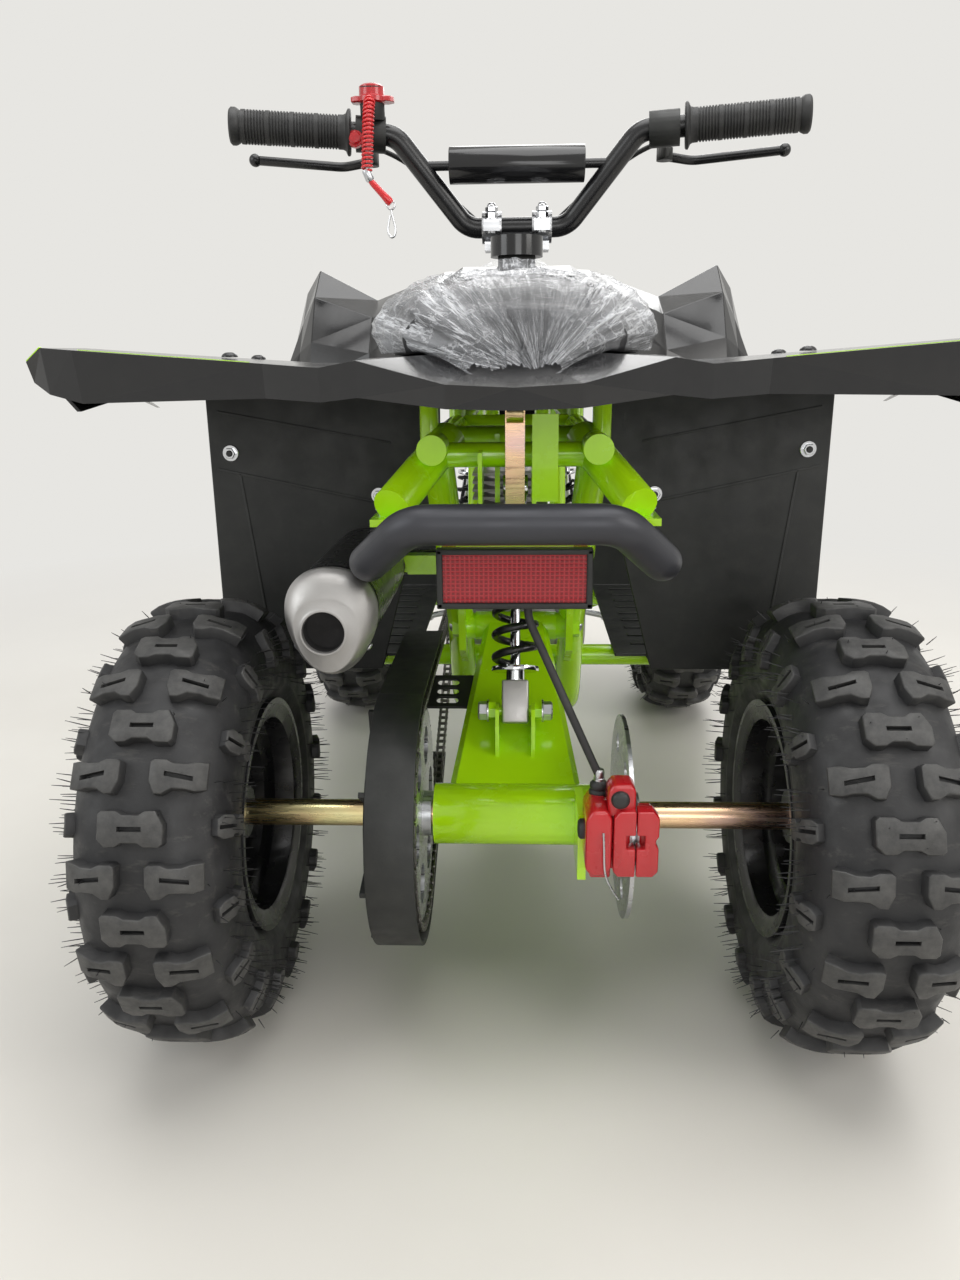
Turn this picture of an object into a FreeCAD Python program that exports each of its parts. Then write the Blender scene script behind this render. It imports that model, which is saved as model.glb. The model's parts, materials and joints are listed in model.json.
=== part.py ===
"""A child's quad bike with a green tube frame, black plastic bodywork and a live rear axle.

Lengths are in millimetres. X is to the rider's right, Y forward and Z up from the floor.
Every piece is drawn with the rear axle at y = 0; save() then moves it so that the
origin lies on the floor at the middle of the overall length.
"""
import FreeCAD
import Part
import os
from math import atan2, ceil, cos, degrees, hypot, pi, radians, sin, sqrt, tan

V = FreeCAD.Vector

# Wheels and stance
wheelbase = 720.0
track = 464.0
tyre_r = 165.0
tyre_w = 108.0
wall_x = 51.0
lug_count = 16
lug_half = 16.0
bumper_reach = 185.0
axle_z = tyre_r
half_track = track / 2
overall_length = tyre_r + wheelbase + bumper_reach
origin_shift = tyre_r - overall_length / 2

# Rims
rim_half_w = 48.0
rim_flange_r = 88.0
rim_seat_r = 76.0
rim_well_r = 64.0
rim_wall = 3.0
rim_web_x = 10.0
hub_r = 20.0
stud_circle_r = 32.0
stud_hole_r = 4.0

# Rear axle line
axle_r = 10.0
axle_half = 258.0
carrier_r = 23.0
carrier_left = -61.0
carrier_right = 62.0
bearing_gap = 0.05
chain_x = -71.0
chain_pitch = 8.0
rear_teeth = 66
drive_teeth = 11
chain_half_gap = 2.5
link_plate = 1.2
link_half_h = 3.4
chain_pin_r = 1.2
sprocket_t = 3.0
drive_y = 330.0
drive_z = 232.0
disc_x = 81.0
disc_r = 76.0
disc_t = 3.0

# Swing arm and rear shock
pivot_y = 170.0
pivot_plate_x = 44.0
pivot_bolt_r = 6.25
pivot_z = 268.0
pivot_half = 36.0
pivot_r = 13.0
arm_low = (8.0, axle_z + 10)
stay_span = (88.0, 124.0)
arm_low_x = 51.0
arm_top_x = 27.0
arm_deep = 22.0
guard_left = -101.0
guard_depth = 34.0
guard_gap = 6.5
shock_low = (48.0, 231.0)
shock_top = (120.0, 400.0)
shock_bolt_r = 4.0
seat_low = (0.17, 0.19)
seat_high = (0.86, 0.88)
front_shock_low_x = 98.0
front_shock_low_z = 176.0
front_shock_top_x = 64.0
caliper_face = 50.0

# Front end
front_y = wheelbase
steer_limit = 30.0
kingpin_x = 140.0
kingpin_r = 6.0
kingpin_tube_r = 13.0
kingpin_half_h = 36.0
arm_pivot_x = 70.0
arm_pivot_dy = 42.0
arm_pivot_z = 150.0
steer_arm = 60.0
stem_low = (700.0, 190.0)
stem_top = (505.0, 622.0)
stem_r = 10.0
rod_offset = 12.0
rod_pin_r = 3.4
rod_eye_r = 5.6
front_disc_x = 173.0
front_disc_r = 60.0
spindle_r = 8.0

# Handlebar
bar_r = 11.0
bar_y = 500.0
bar_z = 644.0
bar_bend = 28.0
grip_r = 17.0
grip_len = 120.0
bar_half = 302.0
clamp_r = 17.0

# Frame
rail_r = 12.0
rail_z = 137.0
rail_front_x = 45.0
rail_mid_x = 50.0
seat_rail_x = 58.0
seat_rail_z = 438.0
peg_z = 223.0
peg_r = 10.0
peg_rear_y = 228.0
peg_front_y = front_y - 250
peg_half = 250.0
spine_r = 10.5
neck_x = 34.0
tower_z = 372.0
deck_z = 502.0
tank_z = 486.0
engine_z = 180.0
bar_seat_z = 390.0
bracket_z = 382.0
nose_y = 858.0
rail_nose_y = front_y + 85
bumper_half = 70.0
bumper_r = 11.0
bumper_y = front_y + bumper_reach - bumper_r
bumper_top = 330.0

# Silencer
can_x = -122.5
can_z = 331.5
can_rear_y = -42.0
outlet_x = can_x - 4
outlet_z = can_z - 6

# Bodywork
skin = 3.0
flap_y = 186.0
flap_x = 272.0
board_z = 236.0
board_front_y = 500.0
board_inner_x = 92.0


def vec(p):
    return V(*p)


def circle_face(centre, direction, r, r_in=0.0):
    """A disc, or a ring if r_in is given, across a direction."""
    outer = Part.Wire(Part.Circle(centre, direction, r).toShape())
    if not r_in:
        return Part.Face(outer)
    inner = Part.Wire(Part.Circle(centre, direction, r_in).toShape())
    return Part.Face([outer, inner], "Part::FaceMakerBullseye")


def rod(a, b, r, r_in=0.0):
    """A round bar, or a pipe, from a to b."""
    a, b = vec(a), vec(b)
    solid = Part.makeCylinder(r, (b - a).Length, a, b - a)
    if r_in:
        solid = solid.cut(Part.makeCylinder(r_in, (b - a).Length, a, b - a))
    return solid


def route(points, bend):
    """Straight runs through the points, joined by tangent arcs of radius bend."""
    pts = [vec(p) for p in points]
    bends = bend if isinstance(bend, (list, tuple)) else [bend] * (len(pts) - 2)
    edges, start = [], pts[0]
    for a, b, c, radius in zip(pts, pts[1:], pts[2:], bends):
        u, w = (a - b).normalize(), (c - b).normalize()
        half = u.getAngle(w) / 2
        p, q = b + u * (radius / tan(half)), b + w * (radius / tan(half))
        mid = b + (u + w).normalize() * (radius / sin(half) - radius)
        if (p - start).Length > 0.01:
            edges.append(Part.LineSegment(start, p).toShape())
        edges.append(Part.Arc(p, mid, q).toShape())
        start = q
    edges.append(Part.LineSegment(start, pts[-1]).toShape())
    return Part.Wire(edges)


def bent(points, bend, r, r_in=0.0):
    """A tube bent along a route."""
    path = route(points, bend)
    face = circle_face(vec(points[0]), vec(points[1]) - vec(points[0]), r, r_in)
    return path.makePipe(face)


def block(x, y, z):
    """A box from three (low, high) pairs."""
    return Part.makeBox(x[1] - x[0], y[1] - y[0], z[1] - z[0], V(x[0], y[0], z[0]))


def polygon(points):
    return Part.makePolygon([vec(p) for p in points] + [vec(points[0])])


def sheet(points, across):
    """A flat plate: an outline of 3-D points, extruded by the vector across."""
    return Part.Face(polygon(points)).extrude(vec(across))


def spun(profile, centre, axis=(1, 0, 0)):
    """A solid turned about the X line through centre, from (x, radius) pairs."""
    face = Part.Face(polygon([(x, 0, r) for x, r in profile]))
    solid = face.revolve(V(0, 0, 0), vec(axis), 360)
    solid.translate(vec(centre))
    return solid


def mirrored(shape):
    return shape.mirror(V(0, 0, 0), V(1, 0, 0))


def both(shape):
    """A piece and its mirror image on the other side."""
    return [shape, mirrored(shape)]


def fused(shapes):
    shapes = list(shapes)
    if len(shapes) == 1:
        return shapes[0]
    return shapes[0].multiFuse(shapes[1:]).removeSplitter()


def eye(centre, axis, r, width, r_in=0.0):
    """A short sleeve centred on a point."""
    half = vec(axis).normalize() * (width / 2)
    return rod(tuple(vec(centre) - half), tuple(vec(centre) + half), r, r_in)


def hexagon(centre, axis, across, height):
    """A hexagon nut or bolt head standing on centre along axis."""
    axis = vec(axis).normalize()
    side = V(1, 0, 0) if abs(axis.x) < 0.9 else V(0, 1, 0)
    u = axis.cross(side).normalize()
    w = axis.cross(u)
    r = across / sqrt(3)
    corners = [vec(centre) + (u * cos(k * pi / 3) + w * sin(k * pi / 3)) * r for k in range(6)]
    return Part.Face(Part.makePolygon(corners + corners[:1])).extrude(axis * height)


def thick_chain(points, t):
    """A closed outline round an open run of 2-D points, t thick on its right-hand side."""
    inner = []
    for k, p in enumerate(points):
        a = points[max(k - 1, 0)]
        b = points[min(k + 1, len(points) - 1)]
        if 0 < k < len(points) - 1:
            d1 = _unit(a, p)
            d2 = _unit(p, b)
            n1, n2 = (d1[1], -d1[0]), (d2[1], -d2[0])
            m = (n1[0] + n2[0], n1[1] + n2[1])
            scale = t / max(0.35, (m[0] * n1[0] + m[1] * n1[1]))
            inner.append((p[0] + m[0] * scale, p[1] + m[1] * scale))
        else:
            d = _unit(a, b)
            inner.append((p[0] + d[1] * t, p[1] - d[0] * t))
    return list(points) + inner[::-1]


def _unit(a, b):
    length = hypot(b[0] - a[0], b[1] - a[1])
    return ((b[0] - a[0]) / length, (b[1] - a[1]) / length)


def flat_faces(rings):
    """Triangular faces between successive rings of points with equal counts."""
    faces = []
    for a, b in zip(rings, rings[1:]):
        count = len(a)
        for k in range(count):
            n = (k + 1) % count
            for tri in ((a[k], a[n], b[n]), (a[k], b[n], b[k])):
                p, q, r = [vec(v) for v in tri]
                if (q - p).cross(r - p).Length > 1e-4:
                    faces.append(Part.Face(Part.makePolygon([p, q, r, p])))
    return faces


def closed_solid(faces):
    shell = Part.makeShell(faces)
    shell.sewShape()
    solid = Part.makeSolid(shell)
    return solid if solid.Volume > 0 else solid.reversed()


def faceted(rings):
    """A solid with flat facets between successive rings, capped at both ends."""
    caps = [Part.Face(polygon(rings[0])), Part.Face(polygon(rings[-1]))]
    return closed_solid(flat_faces(rings) + caps)


def skin_across(stations, t):
    """A moulded shell in flat facets. Each station is (x, [(y, z), ...]) from rear to front."""
    rings = [[V(x, y, z) for y, z in thick_chain(chain, t)] for x, chain in stations]
    count = len(rings[0])
    faces = [ring_face(rings[0]), ring_face(rings[-1])]
    for a, b in zip(rings, rings[1:]):
        for k in range(count):
            n = (k + 1) % count
            # the inner side and the mirrored half turn the diagonal, so both sides stay parallel
            turned = (k >= count // 2) != (a[0].x + b[0].x < 0)
            halves = [(a[k], a[n], b[k]), (a[n], b[n], b[k])] if turned else [(a[k], a[n], b[n]), (a[k], b[n], b[k])]
            faces += [ring_face(list(half)) for half in halves]
    return closed_solid(faces)


def save(name, shape):
    shape = shape if isinstance(shape, Part.Shape) else Part.makeCompound(list(shape))
    solids = shape.Solids
    moved = Part.makeCompound(solids) if len(solids) > 1 else solids[0]
    moved = moved.copy()
    moved.translate(V(0, origin_shift, 0))
    if not moved.isValid():
        print("INVALID", name)
    moved.exportStep("parts/%s.step" % name)
    print("%-22s solids %d volume %.1f cm3" % (name, len(solids), moved.Volume / 1000))


# Wheels

def ring_face(points):
    return Part.Face(Part.makePolygon(points + points[:1]))


def lug_faces(base, top):
    """The walls and the top of one lug, from the corners of its foot and of its top."""
    walls = []
    for k in range(4):
        a, b, c, d = base[k], base[(k + 1) % 4], top[(k + 1) % 4], top[k]
        walls += [ring_face([a, b, c]), ring_face([a, c, d])]
    return walls + [ring_face(top)]


def tyre(x, y):
    """An off-road tyre. Centre lugs and pairs of side lugs take turns round the tread."""
    bead = rim_half_w - 4.3
    # the section as (x, radius), from the left bead over the tread to the right one
    bore = (rim_seat_r + 0.3) / cos(pi / (2 * lug_count))
    half = [(bead, bore), (bead, rim_flange_r + 1.5), (wall_x, 118), (49, 146), (26, 155), (19, 156)]
    section = [(-a, r) for a, r in half] + half[::-1]
    step = pi / lug_count

    def at(point, angle):
        return V(x + point[0], y + point[1] * sin(angle), axle_z - point[1] * cos(angle))
    faces = []
    for k in range(2 * lug_count):
        a, b = (k - 0.5) * step, (k + 0.5) * step
        raised = {5: 0} if k % 2 == 0 else {3: -1, 7: 1}
        for i, (p, q) in enumerate(zip(section, section[1:] + section[:1])):
            base = [at(p, a), at(q, a), at(q, b), at(p, b)]
            if i not in raised:
                faces.append(ring_face(base))
                continue
            side = raised[i]
            lean = 0.24 * step
            if side == 0:
                r = tyre_r / cos(step / 2 - lean)
                p2, q2 = (-lug_half, r), (lug_half, r)
            else:
                inner, outer = (29 * side, 163.5), (tyre_w / 2 * side, 151)
                p2, q2 = (outer, inner) if side < 0 else (inner, outer)
            faces += lug_faces(base, [at(p2, a + lean), at(q2, a + lean), at(q2, b - lean), at(p2, b - lean)])
    return closed_solid(faces)


def rim_barrel(x, y, side):
    """A stepped steel rim with its web towards the outside of the machine."""
    w, t = rim_half_w, rim_wall
    outer = [(-w, rim_flange_r), (-w + 4, rim_flange_r), (-w + 4, rim_seat_r), (-26, rim_seat_r), (-20, rim_well_r)]
    inner = [(-w, rim_flange_r - 4), (-w + 4, rim_seat_r - t), (-28, rim_seat_r - t), (-22, rim_well_r - t)]
    profile = outer + [(-a, r) for a, r in outer[::-1]] + [(-a, r) for a, r in inner] + inner[::-1]
    barrel = spun(profile, (x, y, axle_z))
    web_in = side * rim_web_x
    web = spun([(web_in, hub_r - 6), (web_in, 46), (web_in + side * 6, rim_well_r - 1),
                (web_in + side * 9, rim_well_r - 1), (web_in + side * 3, 46), (web_in + side * 3, hub_r - 6)],
               (x, y, axle_z))
    studs = [rod((x - 30, y + stud_circle_r * cos(a), axle_z + stud_circle_r * sin(a)),
                 (x + 30, y + stud_circle_r * cos(a), axle_z + stud_circle_r * sin(a)), stud_hole_r)
             for a in (k * pi / 2 + pi / 4 for k in range(4))]
    return fused([barrel, web.cut(fused(studs))])


def vented_disc(x, y, r, t, bore):
    """A brake disc with curved cooling slots."""
    disc = rod((x - t / 2, y, axle_z), (x + t / 2, y, axle_z), r, bore)
    slots = []
    for k in range(6):
        a = k * pi / 3
        c = (y + 0.72 * r * cos(a), axle_z + 0.72 * r * sin(a))
        slots.append(rod((x - t, c[0], c[1]), (x + t, c[0], c[1]), r * 0.1))
    return disc.cut(fused(slots))


def rear_wheels():
    save("rear_tyre_left", tyre(-half_track, 0))
    save("rear_tyre_right", tyre(half_track, 0))
    rims = []
    for side in (-1, 1):
        x = side * half_track
        rim = rim_barrel(x, 0, side)
        hub = rod((x - side * 26, 0, axle_z), (x + side * rim_web_x, 0, axle_z), hub_r, axle_r + bearing_gap)
        flange = rod((x + side * (rim_web_x - 5), 0, axle_z), (x + side * rim_web_x, 0, axle_z), 40, axle_r + bearing_gap)
        rims.append(fused([rim, hub, flange]))
    save("rear_rims", rims)
    shaft = rod((-axle_half, 0, axle_z), (axle_half, 0, axle_z), axle_r)
    nuts = [hexagon((side * (half_track + rim_web_x + 3), 0, axle_z), (side, 0, 0), 30, 14) for side in (-1, 1)]
    save("rear_axle", fused([shaft] + nuts))


def sprocket():
    """The rear sprocket and its hub on the axle."""
    pitch_r = chain_pitch / 2 / sin(pi / rear_teeth)
    tip_r = pitch_r - chain_pin_r - 0.5
    root_r = tip_r - 3.2
    points = []
    for k in range(rear_teeth):
        a = 2 * pi * k / rear_teeth
        step = 2 * pi / rear_teeth
        for share, r in ((-0.32, root_r), (-0.14, tip_r), (0.14, tip_r), (0.32, root_r)):
            points.append((chain_x - sprocket_t / 2, r * cos(a + share * step), axle_z + r * sin(a + share * step)))
    plate = sheet(points, (sprocket_t, 0, 0))
    holes = []
    for k in range(6):
        a = k * pi / 3
        c = (0.62 * pitch_r * cos(a), axle_z + 0.62 * pitch_r * sin(a))
        holes.append(rod((chain_x - 4, *c), (chain_x + 4, *c), 15))
    holes.append(rod((chain_x - 4, 0, axle_z), (chain_x + 4, 0, axle_z), axle_r + bearing_gap))
    hub = rod((chain_x - 8, 0, axle_z), (carrier_left - 2, 0, axle_z), 17, axle_r + bearing_gap)
    save("rear_sprocket", fused([plate.cut(fused(holes)), hub]))


def chain_path(offset):
    """The closed line round both sprockets, at an offset outside the pitch line."""
    big = chain_pitch / 2 / sin(pi / rear_teeth) + offset
    small = chain_pitch / 2 / sin(pi / drive_teeth) + offset
    dy, dz = drive_y, drive_z - axle_z
    d = hypot(dy, dz)
    base = atan2(dz, dy)
    wrap = pi / 2 - (pi / 2 - (pi - 2 * ((pi / 2) - 0)) / 2)
    lean = atan2(big - small, sqrt(d * d - (big - small) ** 2))
    up, down = base + pi / 2 - lean, base - pi / 2 + lean

    def on(cy, cz, r, a):
        return V(0, cy + r * cos(a), cz + r * sin(a))
    edges = [
        Part.LineSegment(on(0, axle_z, big, up), on(drive_y, drive_z, small, up)).toShape(),
        Part.Arc(on(drive_y, drive_z, small, up), on(drive_y, drive_z, small, base), on(drive_y, drive_z, small, down)).toShape(),
        Part.LineSegment(on(drive_y, drive_z, small, down), on(0, axle_z, big, down)).toShape(),
        Part.Arc(on(0, axle_z, big, down), on(0, axle_z, big, base + pi), on(0, axle_z, big, up)).toShape(),
    ]
    return Part.Wire(edges)


def chain_points(offset):
    """Corners along the chain's closed line, at an offset outside the pitch line."""
    points = []
    for edge, count in zip(chain_path(offset).Edges, (1, 7, 1, 26)):
        points += [edge.valueAt(edge.FirstParameter + (edge.LastParameter - edge.FirstParameter) * k / count)
                   for k in range(count)]
    return points


def chain():
    """One closed loop of side plates, held together by pins spaced along it."""
    band = ring_face(chain_points(link_half_h)).cut(ring_face(chain_points(-link_half_h)))
    pieces = []
    for x in (chain_x + chain_half_gap, chain_x - chain_half_gap - link_plate):
        plate = band.extrude(V(link_plate, 0, 0))
        plate.translate(V(x, 0, 0))
        pieces.append(plate)
    line = chain_path(0)
    count = int(round(line.Length / (chain_pitch * 3)))
    reach = chain_half_gap + link_plate / 2
    pin = chain_pin_r * 0.88
    for p in line.discretize(count + 1)[:-1]:
        pieces.append(block((chain_x - reach, chain_x + reach), (p.y - pin, p.y + pin), (p.z - pin, p.z + pin)))
    save("drive_chain", fused(pieces))


def chain_guard():
    """A deep moulded cover over the outside of the chain, open towards the machine."""
    edge = link_half_h + guard_gap
    outer = Part.Face(chain_path(edge + skin)).extrude(V(guard_depth, 0, 0))
    outer.translate(V(guard_left, 0, 0))
    hollow = Part.Face(chain_path(edge)).extrude(V(guard_depth, 0, 0))
    hollow.translate(V(guard_left + skin, 0, 0))
    shell = outer.cut(hollow).cut(block((guard_left - 5, -60), (flap_y - 6, 400), (60, 320)))
    bulge = rod((guard_left - 6, 0, axle_z), (guard_left + 1, 0, axle_z), 62)
    inside = rod((guard_left - 3, 0, axle_z), (guard_left + 9, 0, axle_z), 59)
    bore = rod((guard_left - 20, 0, axle_z), (guard_left + 20, 0, axle_z), 26)
    ribs = []
    for k in range(8):
        a = 2 * pi * k / 8 + 0.2
        rib = block((guard_left - 5, guard_left + 1), (60, 92), (-2, 2))
        rib.rotate(V(0, 0, 0), V(1, 0, 0), degrees(a))
        rib.translate(V(0, 0, axle_z))
        ribs.append(rib)
    shell = fused([shell, bulge] + ribs).cut(inside).cut(bore)
    save("chain_guard", fused([shell, slotted_stay()]))


def arm_frame():
    """The swing arm's line: its low end, its direction, its upward normal and its length."""
    low, top = V(0, *arm_low), V(0, pivot_y, pivot_z)
    d = (top - low).normalize()
    return low, d, V(0, -d.z, d.y), (top - low).Length


def slotted_stay():
    """The flat bracket with three slots that joins the guard to the side of the swing arm."""
    low, d, up, length = arm_frame()
    start, end = stay_span
    edge = [-(arm_low_x + (arm_top_x - arm_low_x) * t / length) - bearing_gap for t in (start, end)]
    a, b = low + d * start, low + d * end
    left = V(guard_left + 1, 0, 0)
    plate = sheet([a + left, a + V(edge[0], 0, 0), b + V(edge[1], 0, 0), b + left], tuple(up * 2.5))
    slots = []
    for k in range(3):
        c = low + d * (start + 8 + k * (end - start - 16) / 2) + V(guard_left + guard_depth + 10, 0, 0) - up * 9
        ends = [c - V(6, 0, 0), c + V(6, 0, 0)]
        slots += [rod(tuple(e), tuple(e + up * 18), 3.2) for e in ends]
        slots.append(sheet([ends[0] - d * 3.2, ends[1] - d * 3.2, ends[1] + d * 3.2, ends[0] + d * 3.2], tuple(up * 18)))
    return plate.cut(fused(slots))


# Swing arm

def swing_arm():
    low, d, up, length = arm_frame()
    carrier = rod((carrier_left, 0, axle_z), (carrier_right, 0, axle_z), carrier_r)
    pivot = rod((-pivot_half, pivot_y, pivot_z), (pivot_half, pivot_y, pivot_z), pivot_r)
    rings = []
    for t, half in ((0, arm_low_x), (length, arm_top_x)):
        c = low + d * t
        deep, edge = up * (arm_deep / 2), 5
        rings.append([tuple(c + V(x, 0, 0) + deep * k) for x, k in
                      ((-half + edge, -1), (half - edge, -1), (half, -0.5), (half, 0.5),
                       (half - edge, 1), (-half + edge, 1), (-half, 0.5), (-half, -0.5))])
    beam = faceted(rings)
    sy, sz = shock_low
    ears = []
    for side in (-1, 1):
        # columns: distance along the arm, height above its middle
        corners = [(28, 6), (78, 6), (66, 34), (54, 40), (42, 34)]
        outline = [low + d * t + up * h + V(side * 12.5, 0, 0) for t, h in corners]
        ears.append(sheet([tuple(p) for p in outline], (side * 3, 0, 0)))
    bolt = rod((-18, sy, sz), (18, sy, sz), shock_bolt_r)
    heads = [hexagon((side * 15.5, sy, sz), (side, 0, 0), 12, 6) for side in (-1, 1)]
    tab = block((caliper_face - 6, caliper_face), (-62, -16), (axle_z - 20, axle_z + 30))
    bore = rod((carrier_left - 5, 0, axle_z), (carrier_right + 5, 0, axle_z), axle_r + bearing_gap)
    pivot_bore = rod((-pivot_half - 5, pivot_y, pivot_z), (pivot_half + 5, pivot_y, pivot_z), pivot_bolt_r + bearing_gap)
    arm = fused([carrier, pivot, beam, bolt, tab] + ears + heads)
    save("swing_arm", arm.cut(fused([bore, pivot_bore])))


def coil(low, top, r, wire, turns):
    """A compression spring: a six-sided wire wound round the line from low to top."""
    low, top = vec(low), vec(top)
    axis = (top - low).normalize()
    length = (top - low).Length
    side = V(1, 0, 0) if abs(axis.x) < 0.8 else V(0, 1, 0)
    u = axis.cross(side).normalize()
    w = axis.cross(u)
    steps = int(turns * 12)
    rings = []
    for k in range(steps + 1):
        a = 2 * pi * turns * k / steps
        out = u * cos(a) + w * sin(a)
        centre = low + out * r + axis * (length * k / steps)
        rings.append([tuple(centre + out * (wire * cos(j * pi / 3)) + axis * (wire * sin(j * pi / 3))) for j in range(6)])
    return faceted(rings)


def shock(low, top, side_eye, r=9.0):
    """A damper: two eyes, a body and a rod, with a seat plate at each end of its spring."""
    low, top = vec(low), vec(top)
    d = (top - low).normalize()
    length = (top - low).Length
    at = lambda s: tuple(low + d * (length * s))
    body = rod(at(0.5), tuple(top), r)
    shaft = rod(at(0.08), at(0.55), r * 0.45)
    seats = [rod(at(a), at(b), r * 2.1) for a, b in (seat_low, seat_high)]
    foot = rod(at(0.0), at(seat_low[0]), r * 0.8)
    eyes = [eye(tuple(low), side_eye, r * 0.95, 20), eye(tuple(top), side_eye, r * 0.95, 20)]
    core = fused([body, shaft, foot] + seats + eyes)
    holes = [eye(tuple(p), side_eye, shock_bolt_r + bearing_gap, 40) for p in (low, top)]
    return core.cut(fused(holes))


def spring_on(low, top, r, wire, turns):
    """A spring held between the two seat plates of a damper."""
    low, top = vec(low), vec(top)
    d = (top - low).normalize()
    length = (top - low).Length
    play = wire * sin(pi / 3) + 0.1
    start, end = seat_low[1] * length + play, seat_high[0] * length - play
    return coil(tuple(low + d * start), tuple(low + d * end), r, wire, turns)


def shocks():
    # columns: low eye, top eye, eye axis, body radius, coil radius, wire radius, turns
    table = [((0, *shock_low), (0, *shock_top), (1, 0, 0), 9.0, 16.0, 3.2, 6.5)]
    for side in (-1, 1):
        low = (side * front_shock_low_x, front_y, front_shock_low_z)
        top = (side * front_shock_top_x, front_y - 4, tower_z)
        table.append((low, top, (0, 1, 0), 8.0, 13.8, 2.6, 7.5))
    save("shock_absorbers", [shock(low, top, axis, r) for low, top, axis, r, *_ in table])
    save("shock_springs", [spring_on(low, top, coil_r, wire, turns) for low, top, _, _, coil_r, wire, turns in table])


# Frame

def up_to(piece, other):
    """A piece cut off where it meets another; the lowest part stays."""
    parts = piece.cut(other).Solids
    return min(parts, key=lambda solid: solid.BoundBox.ZMin)


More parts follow.
